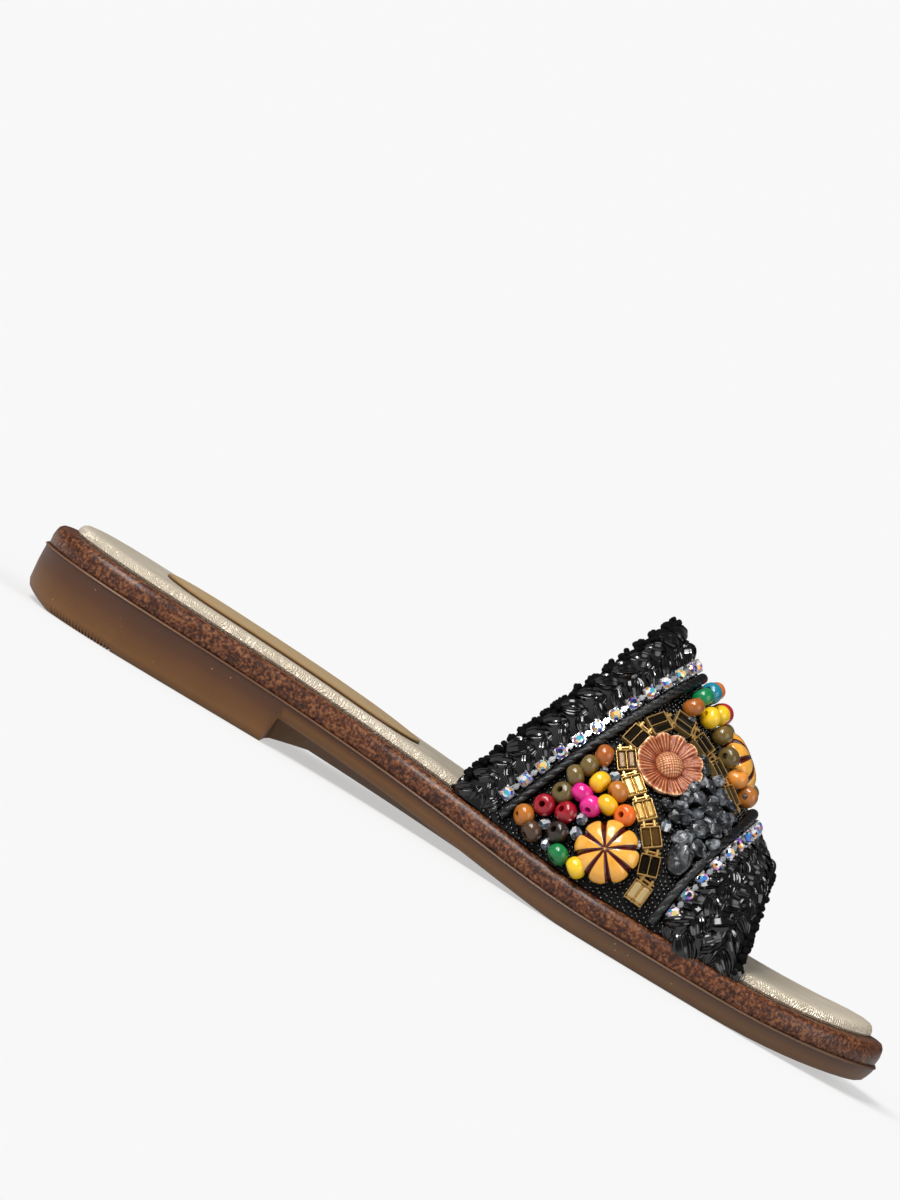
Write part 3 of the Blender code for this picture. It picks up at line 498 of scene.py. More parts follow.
def sock_material():
    """Foiled tan leather of the heel pad: dark at its cut edge, pale on top with a painted sheen,
    unevenly rubbed.
    """
    material, tree = new_material("foiled_tan_leather")
    where = add(tree, "ShaderNodeTexCoord").outputs["Object"]
    level = add(tree, "ShaderNodeAttribute", {"attribute_name": "level"})
    # Grain of 1.1 mm, coarser than real, and stains of 6 mm
    grain = add(tree, "ShaderNodeTexNoise", inputs={"Vector": where, "Scale": 900.0, "Detail": 4.0})
    tone = add(tree, "ShaderNodeTexNoise", inputs={
        "Vector": where, "Scale": 180.0, "Detail": 6.0, "Roughness": 0.7})
    wear_and_painted_sheen = add(tree, "ShaderNodeMath", {"operation": "MULTIPLY_ADD"}, {
        0: tone.outputs["Fac"], 1: 0.16, 2: level.outputs["Fac"]})
    scaled = add(tree, "ShaderNodeMath", {"operation": "MULTIPLY"}, {0: wear_and_painted_sheen.outputs[0], 1: 0.75})
    # The pale top stops are a painted sheen: foil looks whitish where light grazes it
    colour = add(tree, "ShaderNodeValToRGB", inputs={"Fac": scaled.outputs[0]}, stops=[
        (0.28, "#4f331c"), (0.62, "#b58f5c"), (0.78, "#c9a673"), (0.86, "#d9bd92")])
    bump = add(tree, "ShaderNodeBump", inputs={
        "Height": grain.outputs["Fac"], "Strength": 0.3, "Distance": 0.0002})
    shader = add(tree, "ShaderNodeBsdfPrincipled", inputs={
        "Base Color": colour.outputs[0], "Metallic": 0.35, "Roughness": 0.42, "Normal": bump.outputs[0]})
    return close_material(material, shader)


RUBBER, RAND_LEATHER = rubber_material(), rand_material()
GOLD_LEATHER, TAN_LEATHER = gold_leather_material(), sock_material()
print("sole finishes:", RUBBER.name, RAND_LEATHER.name, GOLD_LEATHER.name, TAN_LEATHER.name)


# %% [markdown]
# ## Sole, rand and insole
# A maker cuts three layers to one outline. Each layer here is a stack of rings, every ring the same
# outline moved inward by its own distance and lifted by its own height. The ends are capped by strips
# that cross the shoe. A map in metres runs round the outline, so puckers and wheel marks follow it.

# %% Ring builder
def stations(step, extra=(), first=4, ends=14):
    """Places along the shoe, close together round both ends."""
    angles = [radians(first + (90 - first) * i / ends) for i in range(ends + 1)]
    heel = [HEEL_ROUND * (1 - cos(a)) for a in angles]
    toe = [LENGTH - TOE_ROUND_OUTER * (1 - cos(a)) for a in angles]
    count = ceil((toe[-1] - heel[-1]) / step)
    middle = [heel[-1] + (toe[-1] - heel[-1]) * i / count for i in range(1, count)]
    middle = [x for x in middle if all(abs(x - e) > step / 4 for e in extra)]
    return sorted(set(heel + toe + middle + list(extra)))


def outline(places):
    """Closed outline: inner edge from heel to toe, then the outer edge back."""
    inner = [Vector((x, edge(x, -1))) for x in places]
    outer = [Vector((x, edge(x, 1))) for x in places]
    return inner + outer[::-1]


def inset(ring, distance):
    """The same outline moved inward by one distance."""
    moved = []
    for i, point in enumerate(ring):
        before = (point - ring[i - 1]).normalized()
        after = (ring[(i + 1) % len(ring)] - point).normalized()
        tangent = (before + after).normalized()
        inward = Vector((-tangent.y, tangent.x))
        moved.append(point + inward * distance / max(0.7, tangent.dot(after)))
    return moved


def mesh_object(name, verts, faces, material, uvs=None, levels=None):
    """Make a smooth mesh, with a map for each corner and a level for each point where given."""
    data = bpy.data.meshes.new(name)
    data.from_pydata([tuple(v) for v in verts], [], faces)
    if uvs:
        layer = data.uv_layers.new(name="UVMap")
        for loop in data.loops:
            layer.data[loop.index].uv = uvs[loop.vertex_index]
    if levels:
        store = data.attributes.new("level", "FLOAT", "POINT")
        store.data.foreach_set("value", levels)
    data.materials.append(material)
    data.shade_smooth()
    data.set_sharp_from_angle(angle=radians(42))
    return add_object(name, data)


def ringed_layer(name, ring, rings, material, cross=(), cross_height=None):
    """A closed layer from rings of (inset, height function, level), underside first."""
    count = len(ring)
    half = count // 2
    run = [0.0]
    for a, b in zip(ring, ring[1:]):
        run.append(run[-1] + (b - a).length)
    across = 0.0
    verts, uvs, levels, faces = [], [], [], []
    for distance, height, level in rings:
        placed = [Vector((point.x, point.y, height(base.x))) + SHOE_ORIGIN
                  for point, base in zip(inset(ring, distance), ring)]
        if verts:
            across += (placed[half // 2] - verts[-count + half // 2]).length
        verts += placed
        uvs += [(along, across) for along in run]
        levels += [level] * count
    for n in range(len(rings) - 1):
        for i in range(count):
            j = (i + 1) % count
            low, up = n * count, (n + 1) * count
            faces.append((low + i, low + j, up + j, up + i))
    top = (len(rings) - 1) * count
    for i in range(half - 1):
        faces.append((top + i, top + i + 1, top + count - 2 - i, top + count - 1 - i))
    rows = []
    for i in range(half):
        row = [i]
        for share in cross if 0 < i < half - 1 else ():
            place = verts[i].lerp(verts[count - 1 - i], share)
            place.z = cross_height(ring[i].x, share)
            row.append(len(verts))
            verts.append(place)
            uvs.append((run[i], 0.0))
            levels.append(0.0)
        rows.append(row + [count - 1 - i])
    for here, ahead in zip(rows, rows[1:]):
        if len(here) == len(ahead):
            for k in range(len(here) - 1):
                faces.append((here[k + 1], ahead[k + 1], ahead[k], here[k]))
        elif len(here) < len(ahead):
            faces.append((here[1], *ahead[::-1], here[0]))
        else:
            faces.append((ahead[0], *here, ahead[1]))
    return mesh_object(name, verts, faces, material, uvs, levels)


# %% Hand a piece to the frame
def hand_over(piece, slot, *nodes):
    """Let a piece ride on the shoe and stand for solids, which it hides; slot is not used."""
    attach(piece, "root")
    if nodes:
        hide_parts(*nodes)
    print(piece.name, len(piece.data.polygons), "faces")
    return piece


# %% Outsole, with the ribs under its heel
RIB_PITCH, RIB_DEPTH, RIBS_FROM, RIBS_TO = 0.00103, 0.00045, 0.0095, 0.0300
RIB_COUNT, RIB_EDGES = 19, (0.02, 0.48, 0.52, 0.98)


def ribbed_underside(x):
    """Underside with fine ribs across the back of the heel."""
    if RIBS_FROM < x < RIBS_TO:
        share = ((x - RIBS_FROM) / RIB_PITCH) % 1
        return underside(x) + (RIB_DEPTH if share > 0.5 else 0.0)
    return underside(x)


def fading_ribs(x):
    """Lower edge where the ribs run out, at half their depth."""
    return (ribbed_underside(x) + underside(x)) / 2 + BOTTOM_ROUND * 0.3


def shank_height(x, share):
    """Underside across the waist: a flat rib down the middle with a ramp at the breast."""
    if x <= HEEL_BREAST or not 0.3 < share < 0.7:
        return ribbed_underside(x)
    rib = underside(x) - toe_spring(x)
    drop = SHANK_SHARE * rib
    slope = max(0.0, 1 - (x - HEEL_BREAST - BREAST_LEAN) / RAMP_LENGTH)
    return underside(x) - drop - slope * (rib - drop) * 0.8


def make_outsole():
    """Unit sole with softened lower edge, fine heel ribs, breast and shank rib."""
    ribs = [RIBS_FROM + RIB_PITCH * (n + share) for n in range(RIB_COUNT) for share in RIB_EDGES]
    breast = HEEL_BREAST + BREAST_LEAN
    extra = [STRIKE_LENGTH, HEEL_BREAST, breast, breast + RAMP_LENGTH]
    ring = outline(stations(0.004, extra + ribs))
    rings = [
        (SIDE_DRAFT + BOTTOM_ROUND, ribbed_underside, 0.0),
        (SIDE_DRAFT + BOTTOM_ROUND * 0.55, lambda x: ribbed_underside(x) + BOTTOM_ROUND * 0.08, 0.0),
        (SIDE_DRAFT + BOTTOM_ROUND * 0.22, fading_ribs, 0.1),
        (SIDE_DRAFT, lambda x: underside(x) + BOTTOM_ROUND * 0.75, 0.15),
        (SIDE_DRAFT * 0.5, lambda x: (underside(x) + seat(x)) / 2 + 0.001, 0.42),
        (0.0004, lambda x: seat(x) - 0.0010, 0.68),
        (0.0003, lambda x: seat(x) - 0.0006, 0.70),
        (0.0, lambda x: seat(x) - 0.0005, 0.80),
        (0.0001, lambda x: seat(x) - 0.0002, 0.80),
        (0.0004, seat, 0.70),
        (0.0040, seat, 0.70),
    ]
    return ringed_layer("outsole_skin", ring, rings, RUBBER, (0.22, 0.38, 0.62, 0.78), shank_height)


hand_over(make_outsole(), "outsole", "outsole")


# %% Rand
def make_rand():
    """Burnished rand: a flat side, a rounded shoulder and a flat top."""
    ring = outline(stations(0.004))
    base = lambda x: seat(x) + CLEAR * 0.3
    rings = [
        (0.0030, base, 0.0), (WELT_INSET + 0.0002, base, 0.0),
        (WELT_INSET, lambda x: base(x) + 0.0003, 0.05),
        (WELT_INSET - 0.0002, lambda x: welt_top(x) - WELT_THICKNESS * 0.6, 0.35),
        (WELT_INSET, lambda x: welt_top(x) - WELT_ROUND, 0.6),
        (WELT_INSET + WELT_ROUND * 0.15, lambda x: welt_top(x) - WELT_ROUND * 0.5, 0.75),
        (WELT_INSET + WELT_ROUND * 0.5, lambda x: welt_top(x) - WELT_ROUND * 0.13, 0.88),
        (WELT_INSET + WELT_ROUND, welt_top, 1.0),
        (INSOLE_INSET + 0.001, welt_top, 1.0),
    ]
    return ringed_layer("rand_and_board", ring, rings, RAND_LEATHER)


hand_over(make_rand(), "welt", "welt")


# %% Insole
def make_insole():
    """Padded insole: its side stands proud of the rand and rolls over into a soft top."""
    ring = outline(stations(0.004))
    base = lambda x: welt_top(x) + CLEAR * 0.3
    depth = INSOLE_THICKNESS + CLEAR * 0.7
    rings = [
        (INSOLE_INSET + 0.0012, base, 0.0),
        (INSOLE_INSET + 0.0004, base, 0.1),
        (INSOLE_INSET - 0.0001, lambda x: base(x) + depth * 0.22, 0.3),
        (INSOLE_INSET + 0.0001, lambda x: base(x) + depth * 0.52, 0.5),
        (INSOLE_INSET + 0.0006, lambda x: base(x) + depth * 0.78, 0.7),
        (INSOLE_INSET + 0.0015, lambda x: base(x) + depth * 0.93, 0.85),
        (INSOLE_INSET + 0.0030, lambda x: base(x) + depth, 0.97),
        (INSOLE_INSET + 0.0060, lambda x: base(x) + depth, 1.0),
    ]
    return ringed_layer("gold_insole", ring, rings, GOLD_LEATHER)


insole = hand_over(make_insole(), "insole", "insole")


# %% Heel sock
def make_heel_sock():
    """Thin pad with round ends, laid on the heel of the insole."""
    radius = SOCK_WIDTH / 2
    angles = [radians(6 + 84 * i / 10) for i in range(11)]
    back = [(SOCK_FROM + radius * (1 - cos(a)), radius * sin(a)) for a in angles]
    front = [(SOCK_TO - radius * (1 - cos(a)), radius * sin(a)) for a in angles]
    count = 6
    gap = front[-1][0] - back[-1][0]
    between = [(back[-1][0] + gap * i / count, radius) for i in range(1, count)]
    places = back + between + front[::-1]
    middle = BALL_WIDTH * curve(PLAN, "shift", SOCK_FROM / LENGTH)
    ring = [Vector((x, middle - y)) for x, y in places]
    ring += [Vector((x, middle + y)) for x, y in places[::-1]]
    base = lambda x: insole_top(x) + 0.0001
    rings = [
        (0.0, base, 0.0), (0.0, lambda x: base(x) + SOCK_THICKNESS * 0.6, 0.5),
        (SOCK_THICKNESS * 0.3, lambda x: base(x) + SOCK_THICKNESS * 0.92, 0.7),
        (SOCK_THICKNESS, lambda x: base(x) + SOCK_THICKNESS, 0.95),
        (0.004, lambda x: base(x) + SOCK_THICKNESS, 1.0),
    ]
    return ringed_layer("heel_pad", ring, rings, TAN_LEATHER)


hand_over(make_heel_sock(), "heel_sock", "heel_sock")

# %% [markdown]
# ## Finishes of the strap
# The strap is black fabric packed with tiny glass beads. Its borders are crocheted: matte yarn loops
# along the edge and folded strips of glossy raffia inside. Cords, silver cups, cut crystals, gilt links
# with smoky stones, copper, amber resin, lacquered wood and slate each have their own finish.

# %% Strap materials
def plain_material(name, base, roughness, metallic=0.0, settings=None, grain=None):
    """A finish with one colour, where the form carries the look. grain is (scale, strength, depth)."""
    material, tree = new_material(name)
    inputs = {"Base Color": linear(base), "Roughness": roughness, "Metallic": metallic}
    inputs.update(settings or {})
    if grain:
        scale, strength, depth = grain
        where = add(tree, "ShaderNodeTexCoord").outputs["Object"]
        noise = add(tree, "ShaderNodeTexNoise", inputs={
            "Vector": where, "Scale": scale, "Detail": 4.0, "Roughness": 0.65})
        bump = add(tree, "ShaderNodeBump", inputs={
            "Height": noise.outputs["Fac"], "Strength": strength, "Distance": depth})
        inputs["Normal"] = bump.outputs[0]
    return close_material(material, add(tree, "ShaderNodeBsdfPrincipled", inputs=inputs))


def tinted_material(name, roughness, metallic=0.0, mottle=0.0, mottle_scale=300.0, settings=None):
    """A finish whose colour comes from each copy's tint, with optional mottling towards dark."""
    material, tree = new_material(name)
    tint = add(tree, "ShaderNodeAttribute", {"attribute_name": "tint"})
    colour = tint.outputs["Color"]
    where = add(tree, "ShaderNodeTexCoord").outputs["Object"]
    noise = add(tree, "ShaderNodeTexNoise", inputs={
        "Vector": where, "Scale": mottle_scale, "Detail": 5.0, "Roughness": 0.7})
    if mottle:
        shade = add(tree, "ShaderNodeMapRange", inputs={
            "Value": noise.outputs["Fac"], "From Min": 0.38, "From Max": 0.62,
            "To Min": 1.0 - mottle, "To Max": 1.0 + mottle * 0.6})
        mixed = add(tree, "ShaderNodeVectorMath", {"operation": "SCALE"}, {
            0: colour, "Scale": shade.outputs[0]})
        colour = mixed.outputs[0]
    bump = add(tree, "ShaderNodeBump", inputs={
        "Height": noise.outputs["Fac"], "Strength": 0.15, "Distance": 0.0002})
    inputs = {
        "Base Color": colour, "Roughness": roughness, "Metallic": metallic, "Normal": bump.outputs[0]}
    inputs.update(settings or {})
    return close_material(material, add(tree, "ShaderNodeBsdfPrincipled", inputs=inputs))


def slate_material():
    """Tumbled stone: each chip's own grey, clouded darker and lighter, with a few pale flakes."""
    material, tree = new_material("tumbled_slate")
    tint = add(tree, "ShaderNodeAttribute", {"attribute_name": "tint"})
    where = add(tree, "ShaderNodeTexCoord").outputs["Object"]
    # Clouds of 2.4 mm and flakes of 1.3 mm
    cloud = add(tree, "ShaderNodeTexNoise", inputs={
        "Vector": where, "Scale": 420.0, "Detail": 6.0, "Roughness": 0.7})
    stone = add(tree, "ShaderNodeValToRGB", inputs={"Fac": cloud.outputs["Fac"]}, stops=[
        (0.41, "#262626"), (0.51, "#949494"), (0.60, "#ffffff")])
    colour = add(tree, "ShaderNodeMix", {"data_type": "RGBA", "blend_type": "MULTIPLY"}, {
        "Factor": 1.0, 6: stone.outputs[0], 7: tint.outputs["Color"]})
    spread = add(tree, "ShaderNodeTexNoise", inputs={
        "Vector": where, "Scale": 760.0, "Detail": 3.0, "Roughness": 0.6})
    flakes = add(tree, "ShaderNodeMapRange", inputs={
        "Value": spread.outputs["Fac"], "From Min": 0.58, "From Max": 0.68, "To Max": 0.75})
    flaked = add(tree, "ShaderNodeMix", {"data_type": "RGBA"}, {
        "Factor": flakes.outputs[0], 6: colour.outputs[2], 7: linear("#9a9da0")})
    bump = add(tree, "ShaderNodeBump", inputs={
        "Height": cloud.outputs["Fac"], "Strength": 0.3, "Distance": 0.0003})
    shader = add(tree, "ShaderNodeBsdfPrincipled", inputs={
        "Base Color": flaked.outputs[2], "Roughness": 0.30, "Normal": bump.outputs[0],
        "Coat Weight": 0.3, "Coat Roughness": 0.12})
    return close_material(material, shader)


# Black lining leather: dull, grain of 1.1 mm, coarser than real
LINING = plain_material("black_lining_leather", "#0a0a0a", 0.60, grain=(900.0, 0.25, 0.0002),
                        settings={"Specular IOR Level": 0.25})
# Raffia strips: viscose film, glossy with creases of 1.5 mm
RAFFIA = plain_material("glossy_black_raffia", "#040404", 0.17, grain=(650.0, 0.30, 0.0002),
                        settings={"Specular IOR Level": 0.6, "Coat Weight": 0.5, "Coat Roughness": 0.06})
# Chenille yarn of the looped edge: matte, with a pile of 0.45 mm
YARN = plain_material("matte_black_yarn", "#060606", 0.9, grain=(2200.0, 0.9, 0.0003),
                      settings={"Specular IOR Level": 0.15})
# Waxed cord: soft gloss, broken up by fibres of 0.7 mm
CORD = plain_material("waxed_black_cord", "#060607", 0.30, grain=(1500.0, 0.8, 0.0003),
                      settings={"Specular IOR Level": 0.6})
# Black glass seed beads: sharp small glints
SEED_GLASS = plain_material("black_seed_glass", "#050505", 0.22, settings={
    "Specular IOR Level": 0.9, "Coat Weight": 0.8, "Coat Roughness": 0.12})
# Rhodium-plated cups: bright, with wear of 2 mm
SILVER = plain_material("plated_silver", "#e4e5ea", 0.24, 0.8, grain=(500.0, 0.06, 0.0002))
# Gilt brass: warm, polished, with waves of 3.3 mm
GILT = plain_material("polished_gilt", "#cda868", 0.32, 0.75, grain=(300.0, 0.08, 0.0002))
# Smoky foil-backed glass, near mirror gloss: each copy's tint, from dark brown to pale gold, is partly
# the stones' own colour and partly a painted reflection
SMOKY = tinted_material("smoky_foiled_glass", 0.12, 0.5, settings={"Coat Weight": 0.3})
# Lacquered wood beads: stained, glossy, with faint grain of 4 mm
WOOD = tinted_material("lacquered_wood", 0.28, mottle=0.14, mottle_scale=260.0, settings={
    "Coat Weight": 0.5, "Coat Roughness": 0.12})
# Tumbled slate chips: clouded grey with pale flakes, semi-polished
SLATE = slate_material()
print("strap finishes:", len(bpy.data.materials))


# %% [markdown]
# ## The strap's wall
# The wall is one folded strip of fabric with its lining: an outer and an inner sheet joined along all
# four edges. It thins to a little over half at its free edges and swells along both borders, where the
# crochet is sewn on.

# %% Strap wall
BORDER_SWELL = 0.0009
EDGE_SHARE, EDGE_GAIN, EDGE_RUN = 0.55, 0.45, 0.03


def make_wall():
    """Closed wall over the instep, thicker under its borders."""
    alongs, turns = 40, 72
    verts, faces = [], []
    for lift_share in (0, 1):
        for i in range(alongs + 1):
            for k in range(turns + 1):
                along, turn = i / alongs, k / turns
                back, front = row_along(BACK_BORDER, turn), row_along(FRONT_BORDER, turn)
                under = along < back or along > front
                full = min(1.0, min(along, 1 - along) / EDGE_RUN)
                swell = BORDER_SWELL * full if under else 0.0
                lift = WALL * (EDGE_SHARE + EDGE_GAIN * full) + swell
                verts.append(strap_point(along, turn, lift * lift_share))
    width = turns + 1
    sheet = (alongs + 1) * width
    for i in range(alongs):
        for k in range(turns):
            a, b = i * width + k, (i + 1) * width + k
            faces.append((a, a + 1, b + 1, b))
            faces.append((sheet + a, sheet + b, sheet + b + 1, sheet + a + 1))
    for k in range(turns):
        last = alongs * width + k
        faces.append((k, sheet + k, sheet + k + 1, k + 1))
        faces.append((last, last + 1, sheet + last + 1, sheet + last))
    for i in range(alongs):
        a, b = i * width, (i + 1) * width
        faces.append((a, b, sheet + b, sheet + a))
        faces.append((a + turns, sheet + a + turns, sheet + b + turns, b + turns))
    piece = mesh_object("strap_wall", verts, faces, LINING)
    mesh = bmesh.new()
    mesh.from_mesh(piece.data)
    bmesh.ops.recalc_face_normals(mesh, faces=mesh.faces)
    mesh.to_mesh(piece.data)
    mesh.free()
    return piece


hand_over(make_wall(), "raffia", "upper")

# %% [markdown]
# ## Copies with Geometry Nodes
# Beads, cups, links and strips repeat. A point for each copy carries its turn, size and tint, and one
# node tree puts a small shape on every point, realizes the copies and sets their finish. The result
# becomes a plain mesh, because the exported model can't hold instances.

# %% Copy tree
def new_tree(name, **sockets):
    """Start a node tree with named inputs, and return it with its input node."""
    tree = bpy.data.node_groups.new(name, "GeometryNodeTree")
    for title, kind in {"Geometry": "Geometry", **sockets, "Finish": "Material"}.items():
        tree.interface.new_socket(title, in_out="INPUT", socket_type="NodeSocket" + kind)
    tree.interface.new_socket("Geometry", in_out="OUTPUT", socket_type="NodeSocketGeometry")
    return tree, add(tree, "NodeGroupInput")


def close_tree(tree, given, shape):
    """Realize what the tree made, set its finish and join it to the output."""
    real = add(tree, "GeometryNodeRealizeInstances", inputs={"Geometry": shape.outputs[0]})
    finish = add(tree, "GeometryNodeSetMaterial", inputs={
        "Geometry": real.outputs[0], "Material": given.outputs["Finish"]})
    add(tree, "NodeGroupOutput", inputs={0: finish.outputs[0]})
    return tree


def copy_tree():
    """Node tree that stands a shape on every point by the point's own turn and size."""
    tree, given = new_tree("copies_on_points", Shape="Object", Scale="Float")
    shape = add(tree, "GeometryNodeObjectInfo", inputs={"Object": given.outputs["Shape"]})
    turn, size = [
        add(tree, "GeometryNodeInputNamedAttribute", {"data_type": "FLOAT_VECTOR"}, {"Name": name})
        for name in ("turn", "size")
    ]
    scaled = add(tree, "ShaderNodeVectorMath", {"operation": "SCALE"}, {
        0: size.outputs["Attribute"], "Scale": given.outputs["Scale"]})
    spin = add(tree, "FunctionNodeEulerToRotation", inputs={0: turn.outputs["Attribute"]})
    copies = add(tree, "GeometryNodeInstanceOnPoints", inputs={
        "Points": given.outputs["Geometry"], "Instance": shape.outputs["Geometry"],
        "Rotation": spin.outputs[0], "Scale": scaled.outputs[0]})
    return close_tree(tree, given, copies)


COPIES = copy_tree()
# Every point keeps a tint, which some finishes read.
Copy = namedtuple("Copy", "frame size tint", defaults=((1, 1, 1), "#ffffff"))
RAFFIA_TINT, YARN_TINT, SEED_TINT, GLASS_TINT = "#0a0a0b", "#08080a", "#050505", "#e8ecf2"


# %% Run a tree
def run_tree(carrier, tree, name, **values):
    """Run a tree on an object, keep the result as one plain mesh and drop the object."""
    change = carrier.modifiers.new(tree.name, "NODES")
    change.node_group = tree
    for item in tree.interface.items_tree:
        if item.item_type == "SOCKET" and item.in_out == "INPUT" and item.name in values:
            change[item.identifier] = values[item.name]
    bpy.context.view_layer.update()
    graph = bpy.context.evaluated_depsgraph_get()
    data = bpy.data.meshes.new_from_object(carrier.evaluated_get(graph))
    data.name = name
    bpy.data.objects.remove(carrier)
    return add_object(name, data)


def scatter(name, shape, copies, material, scale=1.0):
    """Stand a shape on every copy's frame and return one plain mesh."""
    data = bpy.data.meshes.new(name + "_points")
    data.from_pydata([tuple(c.frame.translation) for c in copies], [], [])
    turns = [value for one in copies for value in one.frame.to_euler("XYZ")]
    sizes = [value for one in copies for value in one.size]
    tints = [value for one in copies for value in linear(one.tint)]
    data.attributes.new("turn", "FLOAT_VECTOR", "POINT").data.foreach_set("vector", turns)
    data.attributes.new("size", "FLOAT_VECTOR", "POINT").data.foreach_set("vector", sizes)
    data.attributes.new("tint", "FLOAT_COLOR", "POINT").data.foreach_set("color", tints)
    points = add_object(name + "_points", data)
    made = run_tree(points, COPIES, name, Shape=shape, Scale=scale, Finish=material)
    bpy.data.objects.remove(shape)
    return made


# %% Small shapes to copy
def shape_object(name, mesh, smooth=True, sharp=42):
    """Keep a small bmesh as an object that the copy tree can read."""
    bmesh.ops.recalc_face_normals(mesh, faces=mesh.faces)
    data = bpy.data.meshes.new(name)
    mesh.to_mesh(data)
    mesh.free()
    if smooth:
        data.shade_smooth()
        data.set_sharp_from_angle(angle=radians(sharp))
    return add_object(name, data)


def lathe(mesh, profile, sides, axis="Z"):
    """Turn a profile of (radius, height) round an axis into a closed body."""
    rings = []
    for radius, height in profile:
        ring = []
        for k in range(sides):
            angle = 2 * pi * k / sides
            x, y = radius * cos(angle), radius * sin(angle)
            ring.append(mesh.verts.new((x, y, height) if axis == "Z" else (height, x, y)))
        rings.append(ring)
    for a, b in zip(rings, rings[1:]):
        for k in range(sides):
            m = (k + 1) % sides
            mesh.faces.new((a[k], a[m], b[m], b[k]))
    return rings


def sized_at(centre, size):
    """Matrix that gives a unit cube or a ball its size and place."""
    return Matrix.Translation(centre) @ Matrix.Diagonal((*size, 1))


def block(mesh, centre, size, bevel, segments=1):
    """Small block with bevelled edges."""
    made = bmesh.ops.create_cube(mesh, size=1, matrix=sized_at(centre, size))
    edges = list({e for v in made["verts"] for e in v.link_edges})
    bmesh.ops.bevel(mesh, geom=edges, offset=bevel, segments=segments, affect="EDGES")


print("copy tree nodes:", len(COPIES.nodes))

# %% [markdown]
# ## Crocheted borders
# The borders are crocheted from raffia. Each stitch is a bundle of folded strips, gathered at both ends
# and swelling between them like a lemon, and the rows lean against each other like an ear of wheat.
# One bundle is modelled in four variants, with few broad strips or many narrow ones, and the copy tree
# sets them along each border. The matte yarn that binds the edge shows as a bobble at every stitch.

# %% Raffia bundle
BundleKind = namedtuple("BundleKind", "strips width spread")
BUNDLE_KINDS = [
    BundleKind(3, 0.46, 0.24), BundleKind(4, 0.32, 0.27), BundleKind(6, 0.20, 0.29),
    BundleKind(7, 0.15, 0.30),
]
BUNDLE_STEPS, BUNDLE_ARC, BUNDLE_SINK = 8, 66, 0.07


def raffia_bundle(seed, strips, width, spread):
    """Creased strips gathered at both ends, that swell in the middle; one unit long, Z outward."""
    chance = random.Random(seed)
    mesh = bmesh.new()
    for n in range(strips):
        stave = radians(BUNDLE_ARC) * ((n + 0.5) / strips * 2 - 1)
        lean = stave + chance.uniform(-0.7, 0.7)
        rise, crease = spread * chance.uniform(0.85, 1.2), chance.uniform(-0.2, 0.2)
        reach = chance.uniform(0.94, 1.10)
        section = [(-0.50, -0.020), (crease - 0.06, 0.060), (crease + 0.08, 0.025),
                   (0.50, 0.020), (0.38, -0.030), (-0.38, -0.040)]
        rows = []
        for i in range(BUNDLE_STEPS + 1):
            t = i / BUNDLE_STEPS
            swell = sin(pi * (0.03 + 0.94 * t)) ** 0.75
            bend = lean + 0.5 * (t - 0.5) * chance.uniform(0.5, 1.0)
            y, z = sin(stave) * rise * swell, cos(stave) * rise * swell - BUNDLE_SINK
            middle = Vector((reach * (t - 0.5), y, z))
            across, lift = Vector((0, cos(bend), -sin(bend))), Vector((0, sin(bend), cos(bend)))
            broad, thick = width * (0.25 + 0.75 * swell), 0.4 + 0.6 * swell
            rows.append([
                mesh.verts.new(middle + across * broad * a + lift * h * thick) for a, h in section])
        for a, b in zip(rows, rows[1:]):
            for k in range(len(section)):
                m = (k + 1) % len(section)
                mesh.faces.new((a[k], a[m], b[m], b[k]))
        mesh.faces.new(rows[0])
        mesh.faces.new(rows[-1][::-1])
    return shape_object("bundle", mesh, sharp=26)


# %% Lay the bundles
STITCH_PITCH, ROW_STEPS = 0.0056, 140
BACK_MIX, FRONT_MIX = (0, 1, 1, 1, 2, 3), (1, 2, 3, 3, 2, 3)
FRONT_FOOT_GROWTH = 0.40
StitchRow = namedtuple("StitchRow", "across slant size shift")


def row_frames(back, across, shift, lift):
    """Frames at every stitch of a border, at a share of the border's width from its free edge."""
    border = BACK_BORDER if back else FRONT_BORDER
    shares = []
    for i in range(ROW_STEPS + 1):
        turn = 0.006 + 0.988 * i / ROW_STEPS
        width = row_along(border, turn)
        shares.append((width * across if back else 1 - (1 - width) * across, turn))
    slide = Matrix.Translation((STITCH_PITCH * shift, 0, 0))
    frames = even_frames(shares, lift, STITCH_PITCH, half_step=False)
    return [frame @ slide for frame in frames]


def lay_bundles(name, back, rows, seed):
    """Rows of bundles on one border, larger near the feet, and a short row tucked in at each foot."""
    chance = random.Random(seed)
    groups = [[] for kind in BUNDLE_KINDS]
    mix, growth = (BACK_MIX, 0.0) if back else (FRONT_MIX, FRONT_FOOT_GROWTH)
    for row in rows:
        frames = row_frames(back, row.across, row.shift, WALL + BORDER_SWELL - 0.0005)
        for n, frame in enumerate(frames):
            stand = frame @ Matrix.Rotation(radians(row.slant + chance.uniform(-9, 9)), 4, "Z")
            near_foot = abs(n / (len(frames) - 1) - 0.5) * 2
            grow = row.size / 1000 * chance.uniform(0.93, 1.08) * (1 + growth * near_foot ** 3)
            kind = chance.choice(mix)
            size = (grow, grow * chance.uniform(0.9, 1.15), grow * 0.95)
            groups[kind].append(Copy(stand, size, RAFFIA_TINT))
    first, last, count = (0.012, 0.118, 4) if back else (0.752, 0.990, 7)
    for foot in (0.014, 0.986):
        for n in range(count):
            along = first + (last - first) * n / (count - 1)
            slant = (48 if n % 2 else -48) + chance.uniform(-12, 12)
            stand = strap_frame(along, foot, WALL + 0.0003, slant)
            grow = 0.0046 * chance.uniform(0.95, 1.1)
            groups[n % 2].append(Copy(stand, (grow, grow, grow * 0.8), RAFFIA_TINT))
    for n, (kind, copies) in enumerate(zip(BUNDLE_KINDS, groups)):
        bundle = raffia_bundle(seed * 10 + n, *kind)
        hand_over(scatter(f"{name}_{n}", bundle, copies, RAFFIA), "raffia")


